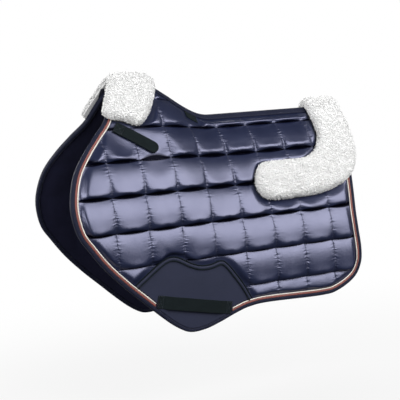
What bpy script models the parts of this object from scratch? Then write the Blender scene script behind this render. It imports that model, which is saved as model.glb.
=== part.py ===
# A close-contact jumping saddle pad with fleece rolls, as it hangs over a horse's back.
# x runs along the spine from the pommel (-) to the cantle (+), y to the right flap, z up.
# The origin is the middle of the straight spine, on the underside of the spine webbing.
# Every cloth piece is drawn flat, at x along the spine and v down the flap, scored where it
# bends, and then wrapped over the back's cross-section at its height n above the seams.

import math
import bpy
import bmesh
from mathutils import Vector

# Cross-section over the back: a small arc on the ridge, a large one, then a plumb flank
RIDGE_RADIUS = 0.008
RIDGE_SLOPE = math.radians(46)
BACK_RADIUS = 0.470
RIDGE_Z = 0.004

# Rise of the spine towards the wither
WITHER_RISE = 0.085
WITHER_FOOT_X = -0.155
WITHER_LENGTH = 0.180
LEVEL_ROW = 0.300  # the row of the quilt that hangs level all along the pad

# Quilting
TILE = 0.075
FIRST_ROW = 0.043
PUFF = 0.0065
PUFF_ROUNDNESS = 0.6
QUARTER = TILE / 4
HALF = TILE / 2

# Layers, from the seam level inwards
GAP = 0.0003
BEND_GAP = 0.0006  # between pieces that don't bend on all the same lines
QUILT_THICKNESS = 0.003
CORE_THICKNESS = 0.004
LINING_THICKNESS = 0.0012
SPINE_PRESS = 0.55  # share of the thickness that is left at the spine seam
SPINE_PRESS_WIDTH = 0.045
CORE_TOP = -(QUILT_THICKNESS + BEND_GAP)
LINING_TOP = CORE_TOP - CORE_THICKNESS - BEND_GAP
LINING_BASE = LINING_TOP - LINING_THICKNESS

# Spine: the flaps' top edges stay clear of each other as they fold
SLOT_HALF_WIDTH = 0.0105
SPINE_BINDING_HALF_WIDTH = 0.018
SPINE_BINDING_THICKNESS = 0.0015
SPINE_BINDING_END_INSET = 0.0188
SPINE_WEBBING_WIDTH = 0.011
SPINE_WEBBING_THICKNESS = 0.0015
FOLD_AXIS_Z = 0.037

# Outline of a flap: the spine's ends, and the edge from the cantle round to the pommel
SPINE_FRONT_X = -0.388
SPINE_REAR_X = 0.177
EDGE_POINTS = [
    (0.175, 0.058), (0.168, 0.118), (0.158, 0.174), (0.147, 0.268), (0.147, 0.323),
    (0.151, 0.373), (0.147, 0.406), (0.127, 0.436), (0.083, 0.459), (0.037, 0.465),
    (-0.100, 0.460), (-0.150, 0.463), (-0.185, 0.472), (-0.225, 0.486), (-0.262, 0.496),
    (-0.297, 0.497), (-0.325, 0.483), (-0.357, 0.457), (-0.402, 0.415), (-0.440, 0.379),
    (-0.478, 0.338), (-0.508, 0.297), (-0.529, 0.263), (-0.538, 0.219), (-0.535, 0.180),
    (-0.520, 0.134), (-0.492, 0.092), (-0.460, 0.054), (-0.428, 0.016), (-0.403, -0.042),
]
EDGE_SPACING = 0.030

# Edge binding and piping
BINDING_WIDTH = 0.0058
BINDING_THICKNESS = 0.0015
COPPER_PIPING_WIDTH = 0.0044
CREAM_PIPING_WIDTH = 0.0026
PIPING_THICKNESS = 0.0026
COPPER_PIPING_INSET = BINDING_WIDTH + GAP + COPPER_PIPING_WIDTH / 2
CREAM_PIPING_INSET = COPPER_PIPING_INSET + (COPPER_PIPING_WIDTH + CREAM_PIPING_WIDTH) / 2 + GAP
BORDER = CREAM_PIPING_INSET + CREAM_PIPING_WIDTH

# Girth patch, its two cords and its webbing keeper
PATCH_POINTS = [
    (-0.4155, 0.3815), (-0.369, 0.349), (-0.347, 0.336), (-0.330, 0.332), (-0.313, 0.336),
    (-0.290, 0.349), (-0.265, 0.359), (-0.240, 0.360), (-0.214, 0.355), (-0.199, 0.364),
    (-0.180, 0.389), (-0.162, 0.416), (-0.145, 0.4475),
]
PATCH_PIPING_GAP = 0.0009
PIPING_END_GAP = 0.0030  # from the keeper's ends, where both pipings stop
PATCH_STEP_GAP = 0.0004  # from the keeper's ends, where the patch steps out to the binding
PATCH_THICKNESS = 0.002
PATCH_CORD_DIAMETER = 0.0026
PATCH_CORD_PITCH = 0.008
PATCH_SPACING = 0.018
KEEPER_CENTRE = (-0.283, 0.441)
KEEPER_ANGLE = math.radians(12.5)
KEEPER_LENGTH = 0.178
KEEPER_WIDTH = 0.028
KEEPER_THICKNESS = 0.0015
KEEPER_SEWN_END = 0.014
KEEPER_RAMP = 0.018
KEEPER_GAP = 0.0052

# Fleece rolls and the felt that they are sewn to
POMMEL_POINTS = [
    (-0.288, -0.068), (-0.295, -0.051), (-0.311, -0.020), (-0.331, 0.012), (-0.348, 0.031),
    (-0.363, 0.038), (-0.379, 0.031), (-0.397, 0.023), (-0.418, 0.019), (-0.431, 0.008),
    (-0.430, -0.002), (-0.411, -0.044),
]
POMMEL_REAR_X = -0.288
POMMEL_FRONT_X = -0.393
CANTLE_POINTS = [
    (0.184, 0.067), (0.180, 0.122), (0.174, 0.152), (0.161, 0.181), (0.139, 0.203),
    (0.107, 0.219), (0.059, 0.231), (0.001, 0.234), (-0.056, 0.235), (-0.086, 0.228),
    (-0.100, 0.208), (-0.099, 0.184), (-0.087, 0.163), (-0.063, 0.151), (0.024, 0.151),
    (0.055, 0.144), (0.078, 0.126), (0.094, 0.100), (0.100, 0.072),
]
CANTLE_REAR_X = 0.185
CANTLE_FRONT_X = 0.101
FELT_THICKNESS = 0.0026
FELT_MARGIN = 0.0015
FLEECE_LOFT = 0.0245
FLEECE_PROFILE = [(0.0, 0.34), (0.0024, 0.62), (0.0075, 0.87), (0.0160, 1.0)]
FLEECE_SPACING = 0.016
FLEECE_OVER_RIDGE = 0.030

# Billet strap: a sewn end, a free end that lifts, and its hook and loop patches
STRAP_START = (-0.413, 0.037)
STRAP_ANGLE = math.radians(36)
STRAP_LENGTH = 0.105
STRAP_WIDTH = 0.026
STRAP_THICKNESS = 0.0022
STRAP_SEWN_END = 0.022
HOOK_THICKNESS = 0.0010
HOOK_LENGTH = 0.045
HOOK_WIDTH = 0.020

# Webbing tab sewn in below the spine binding, on the left flap
TAB_X = -0.207
TAB_WIDTH = 0.027
TAB_LENGTH = 0.020
TAB_THICKNESS = 0.0015

# Clearance round a piece that presses the quilting flat
PRESS_MARGIN = 0.0008
PRESS_HEIGHT = 0.030
FLAT_ENOUGH = math.radians(0.3)  # faces that bend less than this become one

RIDGE_ARC = RIDGE_RADIUS * RIDGE_SLOPE
BACK_ARC = BACK_RADIUS * (math.pi / 2 - RIDGE_SLOPE)
FELT_TOP = GAP + FELT_THICKNESS
FLEECE_BASE = FELT_TOP + BEND_GAP
PATCH_TOP = GAP + PATCH_THICKNESS
HOOK_BASE = 2 * GAP + HOOK_THICKNESS
STRAP_BASE = HOOK_BASE + HOOK_THICKNESS + GAP
STRAP_TOP = STRAP_BASE + STRAP_THICKNESS
SIDES = {"left": -1, "right": 1}

COLOURS = {
    "navy_satin": ((0.060, 0.085, 0.190), 0.35),
    "foam": ((0.78, 0.76, 0.68), 0.90),
    "lining_cotton": ((0.012, 0.014, 0.035), 0.85),
    "binding_tape": ((0.014, 0.016, 0.038), 0.60),
    "cream_cord": ((0.83, 0.80, 0.72), 0.50),
    "copper_cord": ((0.50, 0.17, 0.12), 0.45),
    "slate_patch": ((0.050, 0.055, 0.105), 0.55),
    "dark_webbing": ((0.010, 0.016, 0.018), 0.75),
    "hook_and_loop": ((0.015, 0.016, 0.020), 0.95),
    "white_fleece": ((0.90, 0.90, 0.88), 0.95),
    "dark_felt": ((0.015, 0.017, 0.030), 0.95),
}


def make_material(name):
    colour, roughness = COLOURS[name]
    material = bpy.data.materials.new(name)
    material.use_nodes = True
    shader = material.node_tree.nodes["Principled BSDF"]
    shader.inputs["Base Color"].default_value = (*colour, 1.0)
    shader.inputs["Roughness"].default_value = roughness
    shader.inputs["Metallic"].default_value = 0.0
    return material


# The back's cross-section at distance s from the ridge: half width, depth and slope
def section(s):
    if s <= RIDGE_ARC:
        slope = s / RIDGE_RADIUS
        return RIDGE_RADIUS * math.sin(slope), RIDGE_RADIUS * (1 - math.cos(slope)), slope
    slope = RIDGE_SLOPE + min(s - RIDGE_ARC, BACK_ARC) / BACK_RADIUS
    half_width = (RIDGE_RADIUS - BACK_RADIUS) * math.sin(RIDGE_SLOPE) + BACK_RADIUS * math.sin(slope)
    depth = RIDGE_RADIUS + (BACK_RADIUS - RIDGE_RADIUS) * math.cos(RIDGE_SLOPE)
    depth -= BACK_RADIUS * math.cos(slope)
    return half_width, depth + max(0.0, s - RIDGE_ARC - BACK_ARC), slope


def smooth_step(p):
    p = min(max(p, 0.0), 1.0)
    return p * p * (3 - 2 * p)


# Extra cloth above the straight spine's level, straight between the quilt's quarter lines,
# so that every layer bends on the same lines
def rise(x):
    line = math.floor(x / QUARTER)
    part = x / QUARTER - line
    before = smooth_step((WITHER_FOOT_X - line * QUARTER) / WITHER_LENGTH)
    after = smooth_step((WITHER_FOOT_X - (line + 1) * QUARTER) / WITHER_LENGTH)
    return WITHER_RISE * ((1 - part) * before + part * after)


def lift(x):
    return section(LEVEL_ROW + rise(x))[1] - section(LEVEL_ROW)[1]


# Place of a point of the flat pattern on one side of the pad
def place(x, v, n, side):
    s = v + rise(x)
    half_width, depth, slope = section(abs(s))
    if n < 0:
        n *= SPINE_PRESS + (1 - SPINE_PRESS) * smooth_step(s / SPINE_PRESS_WIDTH)
    y = math.copysign(half_width + n * math.sin(slope), s)
    return Vector((x, side * y, RIDGE_Z + lift(x) - depth + n * math.cos(slope)))


def multiples(low, high, step, start=0.0):
    first = math.ceil((low - start) / step)
    last = math.floor((high - start) / step)
    return [round(start + i * step, 7) for i in range(first, last + 1)]


WITHER_LINES = multiples(WITHER_FOOT_X - WITHER_LENGTH - QUARTER, WITHER_FOOT_X + QUARTER, QUARTER)


# A smooth curve through points, sampled at about even spacing
def smooth_path(points, spacing):
    knots = [Vector(p) for p in points]
    knots = [2 * knots[0] - knots[1]] + knots + [2 * knots[-1] - knots[-2]]
    path = []
    for a, b, c, d in zip(knots, knots[1:], knots[2:], knots[3:]):
        count = max(1, round((c - b).length / spacing))
        for i in range(count):
            t = i / count
            pull = b * 2 + (c - a) * t + (a * 2 - b * 5 + c * 4 - d) * t**2
            path.append((pull + (b * 3 - a - c * 3 + d) * t**3) / 2)
    return path + [knots[-2]]


# A path moved sideways: to its right for a positive distance, which is outwards for an outline
def offset_path(path, distance, closed=False):
    moved = []
    for i, point in enumerate(path):
        before = path[i - 1] if closed or i else point
        after = path[(i + 1) % len(path)] if closed or i + 1 < len(path) else point
        into = (point - before).normalized() if before != point else (after - point).normalized()
        out = (after - point).normalized() if after != point else into
        normal = Vector(((into + out).y, -(into + out).x)).normalized()
        moved.append(point + normal * (distance / max(0.5, normal.dot(Vector((into.y, -into.x))))))
    return moved


# Points at a constant distance from the ridge, on the quarter lines of the wither
def ridge_line(start_x, end_x, s):
    low, high = sorted((start_x, end_x))
    inner = [x for x in WITHER_LINES if low + GAP < x < high - GAP]
    stations = [start_x] + sorted(inner, reverse=start_x > end_x) + [end_x]
    return [Vector((x, s - rise(x))) for x in stations]


def point_on_ridge(x, s):
    return (x, s - rise(x))


# A flat piece of cloth as a closed body
def sheet(outline, bottom, top):
    bm = bmesh.new()
    base = bm.faces.new([bm.verts.new((p[0], p[1], bottom)) for p in outline])
    bm.normal_update()
    if base.normal.z > 0:
        base.normal_flip()
    raised = bmesh.ops.extrude_face_region(bm, geom=[base])
    verts = [item for item in raised["geom"] if isinstance(item, bmesh.types.BMVert)]
    bmesh.ops.translate(bm, vec=(0, 0, top - bottom), verts=verts)
    bmesh.ops.recalc_face_normals(bm, faces=bm.faces[:])
    return bm


# A closed body through rings of equally many points
def loft(rings):
    bm = bmesh.new()
    loops = [[bm.verts.new(p) for p in ring] for ring in rings]
    for one, two in zip(loops, loops[1:]):
        for i in range(len(one)):
            j = (i + 1) % len(one)
            bm.faces.new((one[i], one[j], two[j], two[i]))
    bm.faces.new(loops[0])
    bm.faces.new(loops[-1])
    bmesh.ops.recalc_face_normals(bm, faces=bm.faces[:])
    return bm


# Cuts fold lines into a flat piece, across axis 0 (x) or 1 (v)
def score(bm, axis, positions, marked=None):
    normal = Vector((axis == 0, axis == 1, 0))
    for position in positions:
        faces = [f for f in bm.faces if marked is None or f.material_index == marked]
        parts = set(faces)
        parts.update(e for f in faces for e in f.edges)
        parts.update(v for f in faces for v in f.verts)
        bmesh.ops.bisect_plane(bm, geom=list(parts), dist=GAP / 2, plane_co=normal * position, plane_no=normal)


def extent(bm, axis):
    values = [v.co[axis] for v in bm.verts]
    return min(values), max(values)


# Fold lines of a layer: its half lines, and quarter lines where the wither rises
def score_layer(bm):
    across = set(multiples(*extent(bm, 0), HALF)) | set(WITHER_LINES)
    score(bm, 0, sorted(across))
    score(bm, 1, multiples(*extent(bm, 1), HALF, FIRST_ROW))


# Fold lines that run along the ridge
def score_ridge(bm, positions):
    for vert in bm.verts:
        vert.co.y += rise(vert.co.x)
    score(bm, 1, positions)
    for vert in bm.verts:
        vert.co.y -= rise(vert.co.x)


def flat_object(bm, name):
    mesh = bpy.data.meshes.new(name)
    bm.to_mesh(mesh)
    bm.free()
    obj = bpy.data.objects.new(name, mesh)
    bpy.context.scene.collection.objects.link(obj)
    return obj


# Cuts flat pieces with one another while they are still flat
def combine(bm, others, operation):
    target = flat_object(bm, "flat_piece")
    tools = [flat_object(other, "flat_tool") for other in others]
    for tool in tools:
        cut = target.modifiers.new("cut", "BOOLEAN")
        cut.operation = operation
        cut.solver = "EXACT"
        cut.object = tool
    bpy.context.view_layer.update()
    evaluated = target.evaluated_get(bpy.context.evaluated_depsgraph_get())
    result = bmesh.new()
    result.from_mesh(evaluated.to_mesh())
    evaluated.to_mesh_clear()
    for obj in [target] + tools:
        mesh = obj.data
        bpy.data.objects.remove(obj)
        bpy.data.meshes.remove(mesh)
    return result


# Splits each four-sided cell the same way, so that stacked layers twist alike
def split_cells(bm):
    for face in [f for f in bm.faces if len(f.verts) == 4]:
        loops = sorted(face.loops, key=lambda c: c.vert.co.x + c.vert.co.y)
        if loops[0].link_loop_next.link_loop_next == loops[-1]:
            bmesh.utils.face_split(face, loops[0].vert, loops[-1].vert)


# Wraps a flat piece over the back and trims it at a distance from the centre plane
def wrap(flat, name, material, side, trim=None):
    bm = flat.copy()
    split_cells(bm)
    bmesh.ops.triangulate(bm, faces=bm.faces[:])
    for vert in bm.verts:
        vert.co = place(vert.co.x, vert.co.y, vert.co.z, side)
    if trim is not None:
        everything = bm.verts[:] + bm.edges[:] + bm.faces[:]
        bmesh.ops.bisect_plane(bm, geom=everything, dist=1e-6, plane_co=(0, side * trim, 0),
                               plane_no=(0, side, 0), clear_inner=True)
        rim = [e for e in bm.edges if e.is_boundary]
        if rim:
            bmesh.ops.holes_fill(bm, edges=rim, sides=0)
    bmesh.ops.dissolve_limit(bm, angle_limit=FLAT_ENOUGH, verts=bm.verts[:], edges=bm.edges[:])
    bmesh.ops.triangulate(bm, faces=bm.faces[:])
    bmesh.ops.recalc_face_normals(bm, faces=bm.faces[:])
    for face in bm.faces:
        face.material_index = 0
    mesh = bpy.data.meshes.new(name)
    bm.to_mesh(mesh)
    bm.free()
    return add_object(name, mesh, material)


def add_object(name, data, material):
    obj = bpy.data.objects.new(name, data)
    data.materials.append(MATERIALS[material])
    PARTS.objects.link(obj)
    return obj


def wrap_both(flat, name, material, trim=None):
    for side_name, side in SIDES.items():
        wrap(flat, f"{side_name}_{name}", material, side, trim)
    flat.free()


# A cord laid along a path of the pattern, six-sided
def cord(path, height, width, thickness):
    turns = [math.pi * i / 3 for i in range(6)]
    tracks = [offset_path(path, width / 2 * math.cos(a)) for a in turns]
    heights = [height + thickness / 2 * (1 + math.sin(a)) for a in turns]
    return loft([[(t[i].x, t[i].y, n) for t, n in zip(tracks, heights)] for i in range(len(path))])


# Rounded rectangle end: a straight strip with one half-round end, from start along an angle
def strap_outline(start, angle, length, width, margin=0.0):
    along = Vector((math.cos(angle), math.sin(angle)))
    across = Vector((-along.y, along.x))
    half = width / 2 + margin
    centre = Vector(start) + along * (length - width / 2)
    tip = [centre + across * half * math.cos(a) + along * half * math.sin(a)
           for a in (math.pi * i / 8 for i in range(9))]
    back = Vector(start) - along * margin
    return [back + across * half] + tip + [back - across * half]


def box_outline(start, angle, length, width, margin=0.0):
    along = Vector((math.cos(angle), math.sin(angle)))
    across = Vector((-along.y, along.x)) * (width / 2 + margin)
    front = Vector(start) - along * margin
    back = Vector(start) + along * (length + margin)
    return [front + across, back + across, back - across, front - across]


# Outlines of the flat pattern
def edge_path(top=SLOT_HALF_WIDTH / 2):
    points = [point_on_ridge(SPINE_REAR_X, top)] + EDGE_POINTS + [point_on_ridge(SPINE_FRONT_X, top)]
    return smooth_path(points, EDGE_SPACING)


def panel_outline():
    edge = edge_path()
    return edge + ridge_line(SPINE_FRONT_X, SPINE_REAR_X, SLOT_HALF_WIDTH / 2)[1:-1]


def fleece_outline(points, start_x, end_x, spacing=FLEECE_SPACING):
    over = -FLEECE_OVER_RIDGE
    side = [point_on_ridge(start_x, 0.0)] + points + [point_on_ridge(end_x, 0.0)]
    top = ridge_line(end_x, start_x, over)
    return smooth_path(side, spacing) + top


# The part of a path behind (+1) or before (-1) the keeper, further than a distance from its end
def beyond_keeper(path, end, distance):
    along = Vector((math.cos(KEEPER_ANGLE), math.sin(KEEPER_ANGLE))) * end
    limits = [(p - Vector(KEEPER_CENTRE)).dot(along) - KEEPER_LENGTH / 2 - distance for p in path]
    kept = []
    for i, (point, limit) in enumerate(zip(path, limits)):
        if i and (limit > 0) != (limits[i - 1] > 0):
            kept.append(path[i - 1].lerp(point, limits[i - 1] / (limits[i - 1] - limit)))
        if limit > 0:
            kept.append(point)
    return kept


# The patch keeps inside the pipings, and between the keeper's ends it reaches the binding
def patch_outline():
    edge = edge_path()
    inside = offset_path(edge, -(CREAM_PIPING_INSET + CREAM_PIPING_WIDTH / 2 + PATCH_PIPING_GAP))
    low = offset_path(edge, -(BINDING_WIDTH + BEND_GAP))
    top = smooth_path(PATCH_POINTS, PATCH_SPACING)
    rear = [p for p in beyond_keeper(inside, 1, PATCH_STEP_GAP) if p.y > top[-1].y and p.x < top[-1].x]
    front = [p for p in beyond_keeper(inside, -1, PATCH_STEP_GAP) if p.y > top[0].y and p.x > top[0].x]
    middle = beyond_keeper(low, 1, -KEEPER_LENGTH - PATCH_STEP_GAP)
    middle = beyond_keeper(middle, -1, -KEEPER_LENGTH - PATCH_STEP_GAP)
    return top + rear + middle + front


# The quilted cover: puffed tiles, pressed flat under what is sewn over them
def puff_height(x, v, edge):
    column = abs(math.sin(math.pi * x / TILE))
    row = abs(math.sin(math.pi * (v - FIRST_ROW) / TILE))
    return PUFF * (column * row) ** PUFF_ROUNDNESS * smooth_step(edge / HALF)


def distance_to(outline, point):
    best = 1.0
    for a, b in zip(outline, outline[1:] + outline[:1]):
        run = b - a
        t = min(max((point - a).dot(run) / run.length_squared, 0.0), 1.0) if run.length_squared else 0.0
        best = min(best, (point - a - run * t).length)
    return best


def quilted_cover(outline, pressed):
    bm = sheet(outline, -QUILT_THICKNESS, 0.0)
    top = max(bm.faces, key=lambda f: f.calc_center_median().z)
    bmesh.ops.inset_region(bm, faces=[top], thickness=BORDER, use_even_offset=True)
    top.material_index = 1
    score(bm, 0, multiples(*extent(bm, 0), QUARTER), marked=1)
    score(bm, 1, multiples(*extent(bm, 1), QUARTER, FIRST_ROW), marked=1)
    for vert in bm.verts:
        if all(f.material_index == 1 for f in vert.link_faces):
            x, v = vert.co.x, vert.co.y
            vert.co.z += puff_height(x, v, distance_to(outline, Vector((x, v))) - BORDER)
    bm = combine(bm, [sheet(path, -GAP, PRESS_HEIGHT) for path in pressed], "DIFFERENCE")
    score_layer(bm)
    return bm


def plain_layer(outline, top, thickness):
    bm = sheet(outline, top - thickness, top)
    score_layer(bm)
    return bm


# Binding folded over the edge of all the layers
def edge_binding():
    outer = BINDING_THICKNESS + BEND_GAP
    top = BEND_GAP
    low = LINING_BASE - BEND_GAP
    profile = [
        (-BINDING_WIDTH, top + BINDING_THICKNESS), (outer, top + BINDING_THICKNESS),
        (outer, low - BINDING_THICKNESS), (-BINDING_WIDTH, low - BINDING_THICKNESS),
        (-BINDING_WIDTH, low), (BEND_GAP, low), (BEND_GAP, top), (-BINDING_WIDTH, top),
    ]
    edge = edge_path()
    tracks = [offset_path(edge, distance) for distance, _ in profile]
    rings = [[(track[i].x, track[i].y, n) for track, (_, n) in zip(tracks, profile)] for i in range(len(edge))]
    return loft(rings)


def build_edges():
    wrap_both(edge_binding(), "edge_binding", "binding_tape", SLOT_HALF_WIDTH)
    edge = edge_path(SLOT_HALF_WIDTH + PIPING_THICKNESS * 2)
    pipings = (("copper", COPPER_PIPING_INSET, COPPER_PIPING_WIDTH), ("cream", CREAM_PIPING_INSET, CREAM_PIPING_WIDTH))
    for colour, inset, width in pipings:
        path = offset_path(edge, -inset)
        for end, part in ((1, "rear"), (-1, "front")):
            run = beyond_keeper(path, end, PIPING_END_GAP)
            wrap_both(cord(run, GAP, width, PIPING_THICKNESS), f"{colour}_piping_{part}", f"{colour}_cord")


def build_layers(pressed):
    outline = panel_outline()
    wrap_both(quilted_cover(outline, pressed), "quilted_cover", "navy_satin", SLOT_HALF_WIDTH)
    wrap_both(plain_layer(outline, CORE_TOP, CORE_THICKNESS), "foam_core", "foam", SLOT_HALF_WIDTH)
    wrap_both(plain_layer(outline, LINING_TOP, LINING_THICKNESS), "lining", "lining_cotton", SLOT_HALF_WIDTH)


# Fleece with rounded sides, over felt that shows as a dark line along its edge
def fleece(outline):
    first = FLEECE_PROFILE[0]
    bm = sheet(outline, FLEECE_BASE, FLEECE_BASE + first[1] * FLEECE_LOFT)
    top = max(bm.faces, key=lambda f: f.calc_center_median().z)
    for (inset, height), (next_inset, next_height) in zip(FLEECE_PROFILE, FLEECE_PROFILE[1:]):
        bmesh.ops.inset_region(bm, faces=[top], thickness=next_inset - inset,
                               depth=(next_height - height) * FLEECE_LOFT, use_even_offset=True)
    score_layer(bm)
    score_ridge(bm, [-RIDGE_ARC, -RIDGE_ARC / 2, 0.0, RIDGE_ARC / 2, RIDGE_ARC])
    return bm


def build_fleece(name, outline):
    felt = sheet(offset_path(outline, FELT_MARGIN, closed=True), GAP, FELT_TOP)
    inner = offset_path(panel_outline(), -(BORDER + 2 * FELT_MARGIN), closed=True)
    felt = combine(felt, [sheet(inner, -BORDER, BORDER)], "INTERSECT")
    score_layer(felt)
    wrap_both(felt, f"{name}_felt", "dark_felt", SPINE_BINDING_HALF_WIDTH)
    wrap_both(fleece(outline), f"{name}_fleece", "white_fleece", GAP / 2)


def build_girth_patch():
    outline = patch_outline()
    patch = sheet(outline, GAP, PATCH_TOP)
    score_layer(patch)
    wrap_both(patch, "girth_patch", "slate_patch")
    top_edge = smooth_path(PATCH_POINTS, PATCH_SPACING)
    outer = offset_path(top_edge, PATCH_CORD_DIAMETER / 2 + GAP)
    inner = offset_path(top_edge, -(PATCH_CORD_PITCH - PATCH_CORD_DIAMETER / 2))
    return outer, inner


# The keeper: webbing sewn down at both ends, standing off the patch between them
def girth_keeper():
    along = Vector((math.cos(KEEPER_ANGLE), math.sin(KEEPER_ANGLE)))
    across = Vector((-along.y, along.x)) * (KEEPER_WIDTH / 2)
    base = PATCH_TOP + GAP
    rings = []
    end = KEEPER_LENGTH / 2
    stations = [(end, 0.0), (end - KEEPER_SEWN_END, 0.0), (end - KEEPER_SEWN_END - KEEPER_RAMP / 2, 0.6),
                (end - KEEPER_SEWN_END - KEEPER_RAMP, 1.0)]
    stations = [(-d, h) for d, h in stations] + [(d, h) for d, h in reversed(stations)]
    for distance, height in stations:
        centre = Vector(KEEPER_CENTRE) + along * distance
        low = base + height * (KEEPER_GAP - GAP)
        a, b = centre + across, centre - across
        rings.append([(a.x, a.y, low), (b.x, b.y, low), (b.x, b.y, low + KEEPER_THICKNESS),
                      (a.x, a.y, low + KEEPER_THICKNESS)])
    return loft(rings)


def build_strap():
    along = Vector((math.cos(STRAP_ANGLE), math.sin(STRAP_ANGLE)))
    start = Vector(STRAP_START)
    hinge = start + along * STRAP_SEWN_END
    free = STRAP_LENGTH - STRAP_SEWN_END
    anchor = sheet(box_outline(start, STRAP_ANGLE, STRAP_SEWN_END - GAP, STRAP_WIDTH), GAP, STRAP_TOP)
    strap = sheet(strap_outline(hinge, STRAP_ANGLE, free, STRAP_WIDTH), STRAP_BASE, STRAP_TOP)
    patch_start = hinge + along * (free - STRAP_WIDTH / 2 - HOOK_LENGTH)
    patch = box_outline(patch_start, STRAP_ANGLE, HOOK_LENGTH, HOOK_WIDTH)
    hook = sheet(patch, HOOK_BASE, HOOK_BASE + HOOK_THICKNESS)
    loop = sheet(patch, GAP, GAP + HOOK_THICKNESS)
    pieces = ((anchor, "strap_sewn_end", "dark_webbing"), (strap, "billet_strap", "dark_webbing"),
              (hook, "strap_hook_patch", "hook_and_loop"), (loop, "strap_loop_patch", "hook_and_loop"))
    for flat, name, material in pieces:
        score(flat, 1, multiples(*extent(flat, 1), QUARTER, FIRST_ROW))
        wrap_both(flat, name, material)


def tab_outline(margin=0.0):
    top = SPINE_BINDING_HALF_WIDTH + GAP - margin
    low = top + TAB_LENGTH + 2 * margin
    front = TAB_X - TAB_WIDTH / 2 - margin
    rear = TAB_X + TAB_WIDTH / 2 + margin
    return ridge_line(front, rear, top) + ridge_line(rear, front, low)


def build_spine():
    front = SPINE_FRONT_X + SPINE_BINDING_END_INSET
    rear = SPINE_REAR_X - SPINE_BINDING_END_INSET
    half = SPINE_BINDING_HALF_WIDTH
    outline = ridge_line(front, rear, half) + ridge_line(rear, front, -half)
    low = GAP + GAP / 2
    binding = sheet(outline, low, low + SPINE_BINDING_THICKNESS)
    score(binding, 0, WITHER_LINES)
    score_ridge(binding, [-RIDGE_ARC, -RIDGE_ARC / 2, 0.0, RIDGE_ARC / 2, RIDGE_ARC])
    wrap(binding, "spine_binding", "binding_tape", 1)
    binding.free()
    stations = [p.x for p in ridge_line(front, rear, 0.0)]
    half = SPINE_WEBBING_WIDTH / 2
    rings = []
    for x in stations:
        base = lift(x)
        top = base + SPINE_WEBBING_THICKNESS
        rings.append([(x, -half, base), (x, half, base), (x, half, top), (x, -half, top)])
    webbing = loft(rings)
    mesh = bpy.data.meshes.new("spine_webbing")
    webbing.to_mesh(mesh)
    webbing.free()
    add_object("spine_webbing", mesh, "dark_webbing")
    tab = sheet(tab_outline(), GAP, GAP + TAB_THICKNESS)
    score(tab, 0, WITHER_LINES)
    wrap(tab, "wither_tab", "dark_webbing", SIDES["left"])
    tab.free()


def build():
    pommel = fleece_outline(POMMEL_POINTS, POMMEL_REAR_X, POMMEL_FRONT_X)
    cantle = fleece_outline(CANTLE_POINTS, CANTLE_REAR_X, CANTLE_FRONT_X)
    patch = patch_outline()
    felt_margin = FELT_MARGIN + PRESS_MARGIN
    cord_margin = PATCH_CORD_DIAMETER + GAP + PRESS_MARGIN
    pressed = [
        offset_path(pommel, felt_margin, closed=True),
        offset_path(cantle, felt_margin, closed=True),
        offset_path(patch, cord_margin, closed=True),
        strap_outline(STRAP_START, STRAP_ANGLE, STRAP_LENGTH, STRAP_WIDTH, PRESS_MARGIN),
        tab_outline(PRESS_MARGIN),
    ]
    build_layers(pressed)
    build_edges()
    build_fleece("pommel", pommel)
    build_fleece("cantle", cantle)
    outer, inner = build_girth_patch()
    wrap_both(cord(outer, GAP, PATCH_CORD_DIAMETER, PATCH_CORD_DIAMETER), "patch_cord_outer", "dark_webbing")
    wrap_both(cord(inner, PATCH_TOP + GAP, PATCH_CORD_DIAMETER, PATCH_CORD_DIAMETER), "patch_cord_inner",
              "dark_webbing")
    wrap_both(girth_keeper(), "girth_keeper", "dark_webbing")
    build_strap()
    build_spine()


for old in list(bpy.data.objects):
    bpy.data.objects.remove(old)
MATERIALS = {name: make_material(name) for name in COLOURS}
PARTS = bpy.data.collections.new("jumping_saddle_pad")
bpy.context.scene.collection.children.link(PARTS)
build()
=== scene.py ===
import bpy
import bmesh
import math
import numpy as np
from mathutils import Matrix, Vector
from mathutils.geometry import delaunay_2d_cdt


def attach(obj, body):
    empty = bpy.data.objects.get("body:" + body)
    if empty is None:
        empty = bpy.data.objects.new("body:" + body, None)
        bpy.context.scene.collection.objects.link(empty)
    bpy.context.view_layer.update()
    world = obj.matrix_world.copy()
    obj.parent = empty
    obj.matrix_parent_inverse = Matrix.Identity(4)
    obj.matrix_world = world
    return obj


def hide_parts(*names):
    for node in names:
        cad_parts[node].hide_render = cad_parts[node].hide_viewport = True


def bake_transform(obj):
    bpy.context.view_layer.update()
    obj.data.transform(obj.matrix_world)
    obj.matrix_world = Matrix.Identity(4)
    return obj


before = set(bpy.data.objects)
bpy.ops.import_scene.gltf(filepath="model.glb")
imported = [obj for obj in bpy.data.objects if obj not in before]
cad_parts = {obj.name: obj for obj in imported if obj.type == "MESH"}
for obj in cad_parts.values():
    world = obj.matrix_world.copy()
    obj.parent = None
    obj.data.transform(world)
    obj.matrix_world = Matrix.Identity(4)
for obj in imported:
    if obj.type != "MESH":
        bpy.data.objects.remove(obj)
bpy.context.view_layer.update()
scene = bpy.context.scene
sides = {"left": -1, "right": 1}


def addObject(name, data):
    obj = bpy.data.objects.new(name, data)
    scene.collection.objects.link(obj)
    return obj


# the camera comes first
view = {
    "lens": 90.0,
    "sensor": 36.0,
    "clipEnd": 60.0,
    "distance": 2.29993,
    "yaw": -24.98,
    "pitch": 5.546,
    "roll": -4.0,
    "target": (-0.2, 0.0, -0.1926),
    "slide": (-0.009564, -0.004953),
}


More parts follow.
